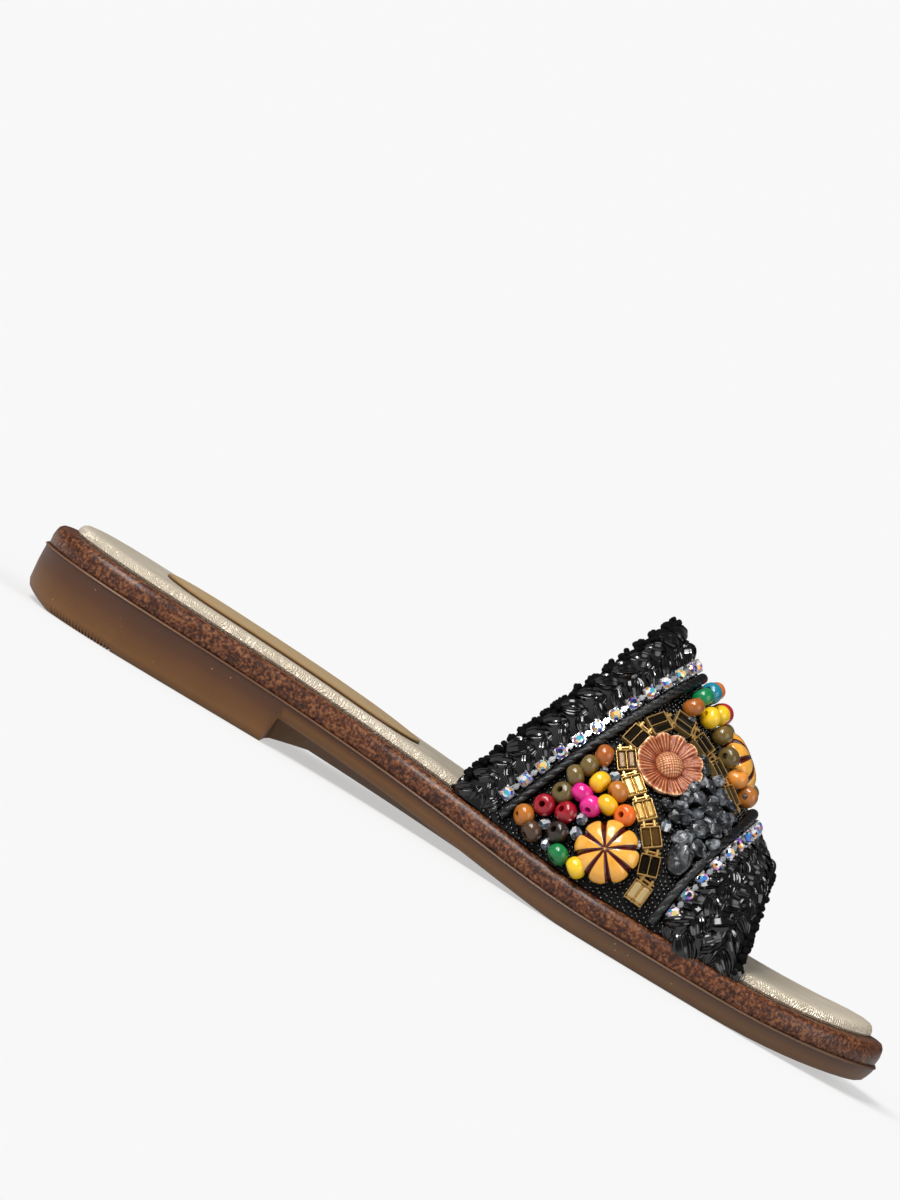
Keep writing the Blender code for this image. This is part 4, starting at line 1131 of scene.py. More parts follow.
# Slants are turns from the row's own direction, which climbs from the inner foot over the ridge
BACK_ROWS = [
    StitchRow(0.60, 8, 5.0, 0.25), StitchRow(1.10, -8, 4.2, 0.1), StitchRow(0.82, 58, 6.4, 0.5),
    StitchRow(0.28, -42, 6.8, 0.0),
]
FRONT_ROWS = [
    StitchRow(0.24, 46, 6.2, 0.0), StitchRow(0.50, -56, 6.6, 0.5), StitchRow(0.74, 44, 6.6, 0.0),
    StitchRow(0.98, -50, 6.0, 0.5), StitchRow(0.38, -8, 5.2, 0.3), StitchRow(0.62, 10, 5.2, 0.2),
    StitchRow(0.86, -6, 5.0, 0.4),
]
lay_bundles("back_raffia", True, BACK_ROWS, 11)
lay_bundles("front_raffia", False, FRONT_ROWS, 31)


# %% Yarn bobbles along the free edges
BOBBLE_KNOTS, EDGE_STEPS = 9, 150


def yarn_knot(seed):
    """Small lumpy knot of yarn, one unit across."""
    chance = random.Random(seed)
    mesh = bmesh.new()
    bmesh.ops.create_icosphere(mesh, subdivisions=2, radius=0.5)
    for vert in mesh.verts:
        vert.co *= chance.uniform(0.90, 1.08)
    return shape_object("knot", mesh, sharp=60)


def lay_yarn(name, back, seed):
    """A bobble of knots at every stitch, and small knots between over the edge."""
    chance = random.Random(seed)
    copies = []
    away = 1 if back else -1
    frames = row_frames(back, -0.06 if back else 0.0, 0.5, 0.0021)
    if not back:
        frames += row_frames(back, 0.0, 0.0, 0.0021)
    for frame in frames:
        for n in range(BOBBLE_KNOTS):
            spot = Vector((
                chance.uniform(-0.0011, 0.0011), away * chance.uniform(-0.0010, 0.0008),
                chance.uniform(-0.0013, 0.0010)))
            grow = chance.uniform(0.0014, 0.0019)
            stand = frame @ Matrix.Translation(spot) @ Matrix.Rotation(chance.uniform(0, 6), 4, "Z")
            copies.append(Copy(stand, (grow, grow, grow), YARN_TINT))
    for i in range(EDGE_STEPS + 1):
        turn = 0.004 + 0.992 * i / EDGE_STEPS
        for lift in (0.0002, 0.0012, 0.0021):
            along = chance.uniform(-0.003, 0.005)
            grow = chance.uniform(0.0012, 0.0017)
            stand = strap_frame(along if back else 1 - along, turn, lift, chance.uniform(0, 360))
            copies.append(Copy(stand, (grow, grow, grow), YARN_TINT))
    return hand_over(scatter(name, yarn_knot(seed), copies, YARN), "raffia")


lay_yarn("back_yarn_edge", True, 5)
lay_yarn("front_yarn_edge", False, 6)

# %% [markdown]
# ## Twisted cords
# A cord closes each border. It is laid from strands, so a lobed profile is swept along the row and
# twisted as it goes. The tree turns the row's points to a curve, tilts it and sweeps the profile.

# %% Cord tree
def cord_tree():
    """Node tree that sweeps a lobed profile along a path with a steady twist."""
    tree, given = new_tree("twisted_cord", Profile="Object", Turns="Float")
    path = add(tree, "GeometryNodeMeshToCurve", inputs={"Mesh": given.outputs["Geometry"]})
    place = add(tree, "GeometryNodeSplineParameter")
    twist = add(tree, "ShaderNodeMath", {"operation": "MULTIPLY"}, {
        0: place.outputs["Factor"], 1: given.outputs["Turns"]})
    angle = add(tree, "ShaderNodeMath", {"operation": "MULTIPLY"}, {0: twist.outputs[0], 1: 2 * pi})
    tilted = add(tree, "GeometryNodeSetCurveTilt", inputs={
        "Curve": path.outputs[0], "Tilt": angle.outputs[0]})
    shape = add(tree, "GeometryNodeObjectInfo", inputs={"Object": given.outputs["Profile"]})
    ring = add(tree, "GeometryNodeMeshToCurve", inputs={"Mesh": shape.outputs["Geometry"]})
    swept = add(tree, "GeometryNodeCurveToMesh", inputs={
        "Curve": tilted.outputs[0], "Profile Curve": ring.outputs[0], "Fill Caps": True})
    return close_tree(tree, given, swept)


CORD_TREE = cord_tree()
CORD_RADIUS, CORD_SIDES, CORD_STEPS = 0.0013, 24, 420


# %% Lay the cords
def wire_object(name, points, closed=False):
    """Points joined by edges, which a tree can turn to a curve."""
    data = bpy.data.meshes.new(name)
    count = len(points)
    edges = [(i, (i + 1) % count) for i in range(count if closed else count - 1)]
    data.from_pydata([tuple(p) for p in points], edges, [])
    return add_object(name, data)


def strand_outline():
    """Outline across the cord: three strands, each with fine yarns."""
    ring = []
    for k in range(CORD_SIDES):
        angle = 2 * pi * k / CORD_SIDES
        radius = CORD_RADIUS * (0.80 + 0.22 * abs(cos(angle * 1.5)) ** 0.7 + 0.04 * cos(angle * 9))
        ring.append((radius * cos(angle), radius * sin(angle), 0))
    return ring


def lay_cord(name, row, twists, node):
    """Twisted cord along one row over the arch."""
    shares = arch_shares(row, 0.012, 0.988, CORD_STEPS)
    path = wire_object(name + "_path", [strap_point(a, t, ON_WALL + CORD_RADIUS) for a, t in shares])
    profile = wire_object("strands", strand_outline(), closed=True)
    made = run_tree(path, CORD_TREE, name, Profile=profile, Turns=twists, Finish=CORD)
    bpy.data.objects.remove(profile)
    made.data.shade_smooth()
    return hand_over(made, "cord", node)


lay_cord("back_twisted_cord", BACK_CORD, 17.0, "back_cord")
lay_cord("front_twisted_cord", FRONT_CORD, 12.0, "front_cord")

# %% [markdown]
# ## Crystal cup chain
# A cup chain is a row of square plated cups, each gripping one cut stone with four claws, joined by
# short bright links. The stones carry a film that throws violet, blue, gold and white. These colours,
# with white and dark facets, are painted reflections, a fixed tint on each facet.

# %% Cup, claws and stone
CUP_PITCH, CUP_WIDTH, CUP_HEIGHT = 0.0056, 0.0032, 0.0021
STONE_SIDES, STONE_KINDS = 8, 4
# Painted reflections of the film: white, coloured and dark tints that facets keep under any light
FILM_REFLECTION_TINTS = ["#f4f4ff", "#8d62d6", "#4c86de", "#ffe38a", "#f29ccb", "#ffffff", "#4fc3cf", "#e39a3c",
           "#5a3fae", "#fff3d6", "#26304f"]


def cup_shape():
    """Square cup with a claw at each corner and a short bar to the next cup."""
    mesh = bmesh.new()
    box = sized_at((0, 0, CUP_HEIGHT * 0.3), (CUP_WIDTH, CUP_WIDTH, CUP_HEIGHT * 0.6))
    bmesh.ops.create_cube(mesh, size=1, matrix=box)
    corner = CUP_WIDTH / 2 * 0.86
    for sx in (-1, 1):
        for sy in (-1, 1):
            claw = sized_at((sx * corner, sy * corner, CUP_HEIGHT * 0.72), (0.36, 0.36, 0.75))
            bmesh.ops.create_icosphere(mesh, subdivisions=1, radius=0.0011, matrix=claw)
    wire = sized_at((CUP_PITCH / 2, 0, CUP_HEIGHT * 0.33), (CUP_PITCH - CUP_WIDTH * 0.9, 0.0007, 0.0006))
    bmesh.ops.create_cube(mesh, size=1, matrix=wire)
    block(mesh, (CUP_PITCH / 2, 0, CUP_HEIGHT * 0.42), (0.0015, 0.0014, 0.0012), 0.00028, 2)
    return shape_object("cup", mesh, sharp=30)


def tint_facets(shape, chance, tints):
    """Give every face one of the tints."""
    colours = [value for face in shape.data.polygons for value in linear(chance.choice(tints))]
    shape.data.attributes.new("facet", "FLOAT_COLOR", "FACE").data.foreach_set("color", colours)
    return shape


def stone_shape(seed):
    """Round brilliant: table, star and crown facets, each with its own tint, a painted reflection of the
    film.
    """
    chance = random.Random(seed)
    mesh = bmesh.new()
    radius = CUP_WIDTH * 0.50
    profile = [(radius, 0.0), (radius, 0.00025), (radius * 0.74, 0.0009), (radius * 0.42, 0.00125)]
    rings = lathe(mesh, profile, STONE_SIDES)
    mesh.faces.new(rings[-1])
    mesh.faces.new(rings[0][::-1])
    return tint_facets(shape_object(f"stone_{seed}", mesh, smooth=False), chance, FILM_REFLECTION_TINTS)


def facet_material():
    """Crystal whose facets carry their own tint, painted as reflections and shade."""
    material, tree = new_material("rainbow_film_crystal")
    facet = add(tree, "ShaderNodeAttribute", {"attribute_name": "facet"})
    shader = add(tree, "ShaderNodeBsdfPrincipled", inputs={
        "Base Color": facet.outputs["Color"], "Roughness": 0.08, "Metallic": 0.35,
        "Coat Weight": 1.0, "Coat Roughness": 0.02})
    return close_material(material, shader)


FACETS = facet_material()


def lay_crystals(name, row, node, seed):
    """Cups along a row, and stones in them whose facets are tinted in four ways."""
    chance = random.Random(seed)
    frames = even_frames(arch_shares(row, 0.02, 0.98, 160), ON_WALL, CUP_PITCH)
    cups = [Copy(frame) for frame in frames]
    hand_over(scatter(name + "_cups", cup_shape(), cups, SILVER), "crystal_chain", node)
    seat_up = Matrix.Translation((0, 0, CUP_HEIGHT * 0.62))
    for kind in range(STONE_KINDS):
        group = [
            Copy(frame @ seat_up @ Matrix.Rotation(chance.uniform(0, pi), 4, "Z"))
            for i, frame in enumerate(frames) if (i * 7 + seed) % STONE_KINDS == kind
        ]
        stone = stone_shape(seed * STONE_KINDS + kind)
        hand_over(scatter(f"{name}_stones_{kind}", stone, group, FACETS), "crystal_chain")


lay_crystals("back_crystals", BACK_CHAIN, "back_crystal_chain", 2)
lay_crystals("front_crystals", FRONT_CHAIN, "front_crystal_chain", 3)

# %% [markdown]
# ## Gilt link chain
# The arched chain is made of short gilt links. Each holds two long smoky stones side by side between
# end bars, and small rings join it to the next. The path climbs beside the wooden beads, goes round
# the flower and runs forward along the ridge.

# %% Gilt links
ChainPoint = namedtuple("ChainPoint", "along rise")
CHAIN = [
    ChainPoint(0.615, 0.060), ChainPoint(0.610, 0.210), ChainPoint(0.555, 0.390),
    ChainPoint(0.465, 0.490), ChainPoint(0.370, 0.535), ChainPoint(0.285, 0.585),
    ChainPoint(0.254, 0.660), ChainPoint(0.264, 0.760), ChainPoint(0.306, 0.850),
    ChainPoint(0.390, 0.885), ChainPoint(0.500, 0.905), ChainPoint(0.600, 0.910),
    ChainPoint(0.690, 0.905),
]
CHAIN_STEPS = 10
LINK_PITCH, LINK_WIDTH, LINK_HEIGHT, LINK_SHARE = 0.0072, 0.0051, 0.0020, 0.78


def chain_shares(side):
    """Smooth shares of along and turn through the chain's points."""
    knots = [(p.along, turn_of(p.rise, side)) for p in CHAIN]
    shares = []
    for i in range(len(knots) - 1):
        a, b = knots[max(i - 1, 0)], knots[i]
        c, d = knots[i + 1], knots[min(i + 2, len(knots) - 1)]
        for k in range(CHAIN_STEPS):
            t = k / CHAIN_STEPS
            shares.append(tuple(
                b[n] + 0.5 * t * (c[n] - a[n] + t * (
                    2 * a[n] - 5 * b[n] + 4 * c[n] - d[n] + t * (3 * (b[n] - c[n]) + d[n] - a[n])))
                for n in (0, 1)))
    return shares + [knots[-1]]


def bar(mesh, length, width, height, x, y, z, bevel=0.00012):
    """Small bevelled bar, centred at x and y, its foot at z."""
    block(mesh, (x, y, z + height / 2), (length, width, height), bevel)


RAIL, SIDE_RAIL = 0.00034, 0.00022
# Bright and dark links are painted reflections over the stones' own smoky colour
LINK_REFLECTION_TINTS = ["#dcc48e", "#150f08", "#5f4520", "#b4934f", "#c6a763", "#5c4320", "#1d140a",
              "#1d150c", "#1a130b", "#1a130b", "#2e2312", "#4a381c", "#d1ab5e"]


def link_frame_shape():
    """Gilt frame of one link with its joining rings."""
    mesh = bmesh.new()
    length = LINK_PITCH * LINK_SHARE
    for x in (-1, 1):
        bar(mesh, RAIL, LINK_WIDTH, LINK_HEIGHT, x * (length - RAIL) / 2, 0, 0, 0.00016)
    for y, share in ((-1, 0.95), (0, 0.85), (1, 0.95)):
        place = y * (LINK_WIDTH - SIDE_RAIL) / 2
        bar(mesh, length, SIDE_RAIL, LINK_HEIGHT * share, 0, place, 0, 0.00008)
    bar(mesh, length * 0.96, LINK_WIDTH * 0.94, LINK_HEIGHT * 0.35, 0, 0, 0)
    gap = LINK_PITCH - length
    for y in (-0.26, 0.26):
        bar(mesh, gap + 0.0005, 0.0008, 0.0008, LINK_PITCH / 2, y * LINK_WIDTH, 0.0006, 0.0002)
    bar(mesh, gap * 0.35, LINK_WIDTH * 0.9, 0.0010, LINK_PITCH / 2, 0, 0.0003, 0.0002)
    return shape_object("link_frame", mesh, sharp=25)


def link_stones_shape():
    """Two long step-cut stones with a broad bevel."""
    mesh = bmesh.new()
    length = LINK_PITCH * LINK_SHARE - 2 * RAIL
    width = (LINK_WIDTH - 3 * SIDE_RAIL) / 2
    for y in (-1, 1):
        place = y * (width + SIDE_RAIL) / 2
        bar(mesh, length, width, LINK_HEIGHT * 0.60, 0, place, LINK_HEIGHT * 0.36, width * 0.28)
    return shape_object("link_stones", mesh, smooth=False)


def lay_links(word, side):
    """Gilt links along one side's path, their stones tinted per link with a painted reflection."""
    frames = even_frames(chain_shares(side), ON_WALL + 0.0002, LINK_PITCH)
    last = len(LINK_REFLECTION_TINTS) - 1
    copies = [Copy(frame, tint=LINK_REFLECTION_TINTS[min(i, last)]) for i, frame in enumerate(frames)]
    gilt = scatter(f"gilt_links_{word}", link_frame_shape(), copies, GILT)
    hand_over(gilt, "gold_chain", f"gold_chain_{word}")
    hand_over(scatter(f"smoky_stones_{word}", link_stones_shape(), copies, SMOKY), "gold_chain")


for word, side in SIDES:
    lay_links(word, side)

# %% [markdown]
# ## Copper flower
# The flower is cast and antiqued: a dished disc with a wavy rim of petals, fine ribs that stand pale
# on dark copper, and a round heart with a crossed grid. Its form is a disc of rings whose radius and
# height follow waves. The pale ribs, grid and rim are rubbed metal with a painted highlight on top, and
# they come from a height kept on each point.

# %% Flower
FLOWER_AT, FLOWER_RADIUS, FLOWER_PETALS = (0.405, 0.716), 0.0088, 12
HEART_SHARE, HEART_GRID = 0.43, 0.00095
HEART_RINGS = [0.03 + 0.0308 * i for i in range(14)]
PETAL_RINGS = [0.45, 0.49, 0.55, 0.62, 0.70, 0.78, 0.86, 0.92, 0.96, 0.985, 1.0]


def copper_material():
    """Antiqued copper: dark in the hollows, pale on raised lines and rim, rubbed and painted as
    highlights, wear of 1.1 mm.
    """
    material, tree = new_material("antiqued_copper")
    level = add(tree, "ShaderNodeAttribute", {"attribute_name": "level"})
    where = add(tree, "ShaderNodeTexCoord").outputs["Object"]
    noise = add(tree, "ShaderNodeTexNoise", inputs={"Vector": where, "Scale": 900.0, "Detail": 3.0})
    wear_and_painted_sheen = add(tree, "ShaderNodeMath", {"operation": "MULTIPLY_ADD"}, {
        0: noise.outputs["Fac"], 1: 0.3, 2: level.outputs["Fac"]})
    # Pale stops: rubbed metal on ribs, grid and rim, with a painted highlight
    colour = add(tree, "ShaderNodeValToRGB", inputs={"Fac": wear_and_painted_sheen.outputs[0]}, stops=[
        (0.30, "#5f2412"), (0.50, "#984c2c"), (0.72, "#c07a4c"), (1.0, "#f4d2a8")])
    bump = add(tree, "ShaderNodeBump", inputs={
        "Height": noise.outputs["Fac"], "Strength": 0.2, "Distance": 0.0001})
    shader = add(tree, "ShaderNodeBsdfPrincipled", inputs={
        "Base Color": colour.outputs[0], "Metallic": 0.15, "Roughness": 0.34, "Normal": bump.outputs[0]})
    return close_material(material, shader)


COPPER = copper_material()


def scallop(angle):
    """Rounded petal tips with sharp valleys between, from 0 to 1."""
    return abs(sin(angle * FLOWER_PETALS / 2)) ** 0.55


def flower_point(angle, share):
    """Place, and level of rubbing with painted highlight, on the flower's face at an angle and a share
    of its radius.
    """
    outward = max(0.0, (share - HEART_SHARE) / (1 - HEART_SHARE))
    radius = FLOWER_RADIUS * share * (1 - 0.075 * (1 - scallop(angle)) * outward)
    x, y = radius * cos(angle), radius * sin(angle)
    if share <= HEART_SHARE:
        grid = cos(x * 2 * pi / HEART_GRID) * cos(y * 2 * pi / HEART_GRID)
        fade = min(1.0, (HEART_SHARE - share) / 0.05)
        height = 0.0016 + 0.0024 * (1 - (share / HEART_SHARE) ** 2.4) + 0.00011 * grid * fade
        return Vector((x, y, height)), 0.42 + 0.55 * max(0.0, grid) * fade
    # Ribs and rim get a higher level: rubbed pale and painted as catching the light
    rib = max(0.0, cos(angle * FLOWER_PETALS * 4)) ** 2
    strength = min(1.0, outward * 3) * (1 - 0.6 * outward ** 3)
    height = 0.0013 + 0.0015 * outward ** 1.3 - 0.0005 * outward ** 8
    height += 0.00016 * rib * strength - 0.0009 * (1 - scallop(angle)) * outward
    rim = max(0.0, outward - 0.84) / 0.16
    return Vector((x, y, height)), 0.12 + 0.16 * scallop(angle) + 0.55 * rib * strength + 0.50 * rim


def close_disc(verts, sides, top, foot):
    """Faces between rings of points, from the top down, with a point added to close each end."""
    faces = []
    rows = len(verts) // sides
    last = (rows - 1) * sides
    for start in range(0, last, sides):
        for k in range(sides):
            m = (k + 1) % sides
            faces.append((start + k, start + sides + k, start + sides + m, start + m))
    verts += [top, foot]
    for k in range(sides):
        m = (k + 1) % sides
        faces.append((rows * sides, k, m))
        faces.append((last + m, last + k, rows * sides + 1))
    return faces


def make_flower(word, side):
    """Cast flower with ribbed petals and a gridded heart."""
    matrix = strap_frame(FLOWER_AT[0], turn_of(FLOWER_AT[1], side), ON_WALL, -25 * side)
    sides = FLOWER_PETALS * 24
    verts, levels = [], []
    for share in HEART_RINGS + PETAL_RINGS:
        for k in range(sides):
            place, level = flower_point(2 * pi * k / sides, share)
            verts.append(matrix @ place)
            levels.append(level)
    for share, height, level in ((1.0, 0.0013, 0.6), (0.94, 0.0003, 0.3), (0.88, 0.0, 0.2)):
        for k in range(sides):
            place, _ = flower_point(2 * pi * k / sides, share)
            verts.append(matrix @ Vector((place.x, place.y, height)))
            levels.append(level)
    faces = close_disc(verts, sides, matrix @ Vector((0, 0, 0.0040)), matrix @ Vector((0, 0, 0)))
    levels += [0.8, 0.2]
    piece = mesh_object(f"copper_flower_{word}", verts, faces, COPPER, levels=levels)
    return hand_over(piece, "copper", f"flower_{word}")


for word, side in SIDES:
    make_flower(word, side)

# %% [markdown]
# ## Lobed beads
# These resin beads look like small pumpkins: eight swelling lobes of amber, with dark red grooves that
# run from the middle and widen to the rim. A level on each point paints the grooves.

# %% Lobed beads
MELON_RADIUS, MELON_HEIGHT, MELON_LOBES = 0.0084, 0.0060, 8
# Shares of the radius and of the height, from the top down
MELON_PROFILE = [
    (0.10, 1.0), (0.22, 0.995), (0.38, 0.975), (0.56, 0.93), (0.74, 0.84), (0.88, 0.70),
    (0.97, 0.55), (1.00, 0.42), (0.96, 0.26), (0.85, 0.10), (0.6, 0.0),
]


def amber_material():
    """Cast amber resin: glossy lobes with clouds of 4 mm, dark red inlaid grooves."""
    material, tree = new_material("cast_amber_resin")
    level = add(tree, "ShaderNodeAttribute", {"attribute_name": "level"})
    where = add(tree, "ShaderNodeTexCoord").outputs["Object"]
    cloud = add(tree, "ShaderNodeTexNoise", inputs={"Vector": where, "Scale": 240.0, "Detail": 2.0})
    amber = add(tree, "ShaderNodeValToRGB", inputs={"Fac": cloud.outputs["Fac"]}, stops=[
        (0.35, "#e0992f"), (0.65, "#edb04a")])
    inlay = add(tree, "ShaderNodeMapRange", inputs={
        "Value": level.outputs["Fac"], "From Min": 0.45, "From Max": 0.55})
    colour = add(tree, "ShaderNodeMix", {"data_type": "RGBA"}, {
        "Factor": inlay.outputs[0], 6: linear("#4d0d0a"), 7: amber.outputs[0]})
    shader = add(tree, "ShaderNodeBsdfPrincipled", inputs={
        "Base Color": colour.outputs[2], "Roughness": 0.22, "Coat Weight": 0.6,
        "Coat Roughness": 0.08, "Subsurface Weight": 0.08, "Subsurface Scale": 0.002})
    return close_material(material, shader)


AMBER = amber_material()


def make_melon(word, along, turn):
    """Flattened bead with eight lobes and inlaid grooves."""
    matrix = strap_frame(along, turn, ON_WALL)
    sides = MELON_LOBES * 16
    verts, levels = [], []
    for out, up in MELON_PROFILE:
        half_width = 0.00030 + 0.00058 * out
        for k in range(sides):
            angle = 2 * pi * k / sides
            wave = abs(sin(angle * MELON_LOBES / 2))
            groove = 1 - 0.15 * (1 - wave) ** 1.8 * min(1, out * 1.2)
            dip = 1 - 0.10 * (1 - wave) ** 3 * min(1.0, out * 2)
            radius = MELON_RADIUS * out * groove
            height = MELON_HEIGHT * up * dip
            verts.append(matrix @ Vector((radius * cos(angle), radius * sin(angle), height)))
            off_groove = abs(((angle * MELON_LOBES / (2 * pi) + 0.5) % 1) - 0.5) * 2 * pi / MELON_LOBES
            levels.append(min(1.0, 0.5 * (off_groove * max(radius, 1e-4)) / half_width))
    faces = close_disc(verts, sides, matrix @ Vector((0, 0, MELON_HEIGHT)), matrix @ Vector((0, 0, 0)))
    levels += [0.6, 0.6]
    piece = mesh_object(f"amber_bead_{word}", verts, faces, AMBER, levels=levels)
    return hand_over(piece, "melon_bead", f"melon_{word}")


make_melon("medial", 0.470, turn_of(0.215, -1))
make_melon("lateral", 0.470, turn_of(0.215, 1))
make_melon("centre", 0.560, 0.5)

# %% [markdown]
# ## Wooden beads
# Barrel beads are turned from wood, dyed and lacquered. Their places, turns and colours are charted.
# Some lie on their side and some show their hole. A cluster lies at each foot and one on the ridge.

# %% Barrel bead
Bead = namedtuple("Bead", "along rise turn tilt tint")
SIDE_BEADS = [
    Bead(0.238, 0.508, 35, 20, "#a3561a"), Bead(0.233, 0.436, 20, 0, "#6f5a2a"),
    Bead(0.228, 0.366, 60, 0, "#6b582c"), Bead(0.298, 0.423, 0, 0, "#efb81b"),
    Bead(0.362, 0.452, 80, 15, "#b36d25"), Bead(0.242, 0.279, 10, 75, "#62522c"),
    Bead(0.287, 0.335, 100, 0, "#dd1787"), Bead(0.336, 0.322, 115, 40, "#df2389"),
    Bead(0.370, 0.378, 95, 0, "#f0b714"), Bead(0.432, 0.402, 70, 60, "#dc6415"),
    Bead(0.233, 0.189, 90, 80, "#940a1c"), Bead(0.296, 0.228, 20, 65, "#940a1c"),
    Bead(0.214, 0.101, 45, 45, "#b2681c"), Bead(0.268, 0.068, 75, 30, "#49321f"),
    Bead(0.324, 0.138, 15, 70, "#2a1e17"), Bead(0.374, 0.060, 80, 25, "#07763a"),
    Bead(0.438, 0.060, 60, 10, "#efc21c"),
]
RidgeBead = namedtuple("RidgeBead", "along across turn tilt tint")
RIDGE_BEADS = [
    RidgeBead(0.287, 0.000, 20, 0, "#d7691c"), RidgeBead(0.375, 0.000, 70, 0, "#a5141f"),
    RidgeBead(0.285, 0.095, 10, 0, "#a86626"), RidgeBead(0.285, -0.095, 60, 0, "#0e7d94"),
    RidgeBead(0.372, 0.100, 85, 0, "#efc21c"), RidgeBead(0.372, -0.100, 30, 0, "#f0c413"),
    RidgeBead(0.283, 0.190, 45, 20, "#b06220"), RidgeBead(0.283, -0.190, 15, 0, "#067d46"),
    RidgeBead(0.440, 0.165, 0, 0, "#6c592c"), RidgeBead(0.440, -0.165, 0, 0, "#6e5829"),
    RidgeBead(0.295, 0.272, 70, 0, "#0e7d94"), RidgeBead(0.295, -0.272, 10, 15, "#a35b1a"),
    RidgeBead(0.360, 0.200, 25, 0, "#a6651a"), RidgeBead(0.360, -0.200, 55, 0, "#efc21c"),
    RidgeBead(0.520, 0.195, 20, 0, "#6c592c"), RidgeBead(0.520, -0.195, 70, 0, "#5e4c24"),
    RidgeBead(0.602, 0.190, 50, 20, "#d98a34"), RidgeBead(0.602, -0.190, 15, 40, "#d98a34"),
    RidgeBead(0.680, 0.172, 0, 0, "#6e5829"), RidgeBead(0.680, -0.172, 80, 0, "#a86626"),
]
BEAD_DIAMETER, BEAD_LENGTH, BEAD_HOLE, BEAD_SIDES, BEAD_STEPS = 0.0058, 0.0043, 0.0017, 22, 12


def bead_shape():
    """Turned bead, rounded all over, with a hole through it, lying along X."""
    mesh = bmesh.new()
    half, hole = BEAD_LENGTH / 2, BEAD_HOLE / 2
    profile = []
    for i in range(BEAD_STEPS + 1):
        angle = pi * i / BEAD_STEPS
        flat = sin(angle) ** 0.82
        profile.append((hole + (BEAD_DIAMETER / 2 - hole) * flat, -half * cos(angle)))
    profile += [(hole * 0.92, half * 0.86), (hole * 0.92, -half * 0.86)]
    rings = lathe(mesh, profile, BEAD_SIDES, "X")
    for k in range(BEAD_SIDES):
        m = (k + 1) % BEAD_SIDES
        mesh.faces.new((rings[-1][k], rings[-1][m], rings[0][m], rings[0][k]))
    return shape_object("rondelle", mesh, sharp=60)


def lay_beads(name, node, places):
    """Beads at (along, turn, spin, tilt, tint)."""
    copies = []
    for along, turn, spin, tilt, tint in places:
        rest = Matrix.Translation((0, 0, BEAD_DIAMETER / 2 * (1 - 0.08 * abs(sin(radians(tilt))))))
        stand = strap_frame(along, turn, ON_WALL, spin) @ rest @ Matrix.Rotation(radians(tilt), 4, "Y")
        copies.append(Copy(stand, tint=tint))
    return hand_over(scatter(name, bead_shape(), copies, WOOD), "wood_beads", node)


for word, side in SIDES:
    lay_beads(f"wooden_beads_{word}", f"beads_{word}", [
        (b.along, turn_of(b.rise, side), b.turn * -side, b.tilt * -side, b.tint) for b in SIDE_BEADS])
lay_beads("wooden_beads_centre", "beads_centre", [
    (b.along, 0.5 + b.across / 2, b.turn, b.tilt, b.tint) for b in RIDGE_BEADS])

# %% [markdown]
# ## Loose crystals
# Small clear cut beads are sewn into the gaps between the larger ones.

# %% Clear crystals
Sparkle = namedtuple("Sparkle", "along rise size")
SPARKLES = [
    Sparkle(0.268, 0.474, 0.0020), Sparkle(0.312, 0.486, 0.0030), Sparkle(0.342, 0.256, 0.0030),
    Sparkle(0.362, 0.188, 0.0032), Sparkle(0.274, 0.128, 0.0028), Sparkle(0.322, 0.062, 0.0026),
    Sparkle(0.545, 0.520, 0.0026), Sparkle(0.560, 0.600, 0.0022), Sparkle(0.520, 0.350, 0.0020),
    Sparkle(0.325, 0.900, 0.0024),
]


def sparkle_shape():
    """Faceted round bead, one unit across, its facets painted from clear white to dark as reflections
    and shade.
    """
    mesh = bmesh.new()
    rings = lathe(mesh, [(0.2, -0.5), (0.42, -0.32), (0.5, 0.0), (0.42, 0.32), (0.2, 0.5)], 9)
    mesh.faces.new(rings[0][::-1])
    mesh.faces.new(rings[-1])
    # Painted reflections and shade: clear glass drawn as white, grey and dark facets
    glass = ["#ffffff", "#c9d3dd", "#6b7683", "#23272e", "#eef3f8", "#3c444f"]
    return tint_facets(shape_object("sparkle", mesh, smooth=False), random.Random(4), glass)


def lay_sparkles(word, side):
    """Clear beads on one side."""
    copies = []
    for s in SPARKLES:
        stand = strap_frame(s.along, turn_of(s.rise, side), ON_WALL + s.size * 0.55, s.along * 900)
        size = (s.size, s.size, s.size * 1.25)
        copies.append(Copy(stand @ Matrix.Rotation(0.9, 4, "Y"), size, GLASS_TINT))
    return hand_over(scatter(f"clear_crystals_{word}", sparkle_shape(), copies, FACETS), "crystal_chain")


for word, side in SIDES:
    lay_sparkles(word, side)

# %% [markdown]
# ## Slate chips
# The forward field is filled with tumbled chips of dark stone. Each is an uneven pebble with a few
# broad facets. They are charted in rows and turned by chance with a fixed seed.

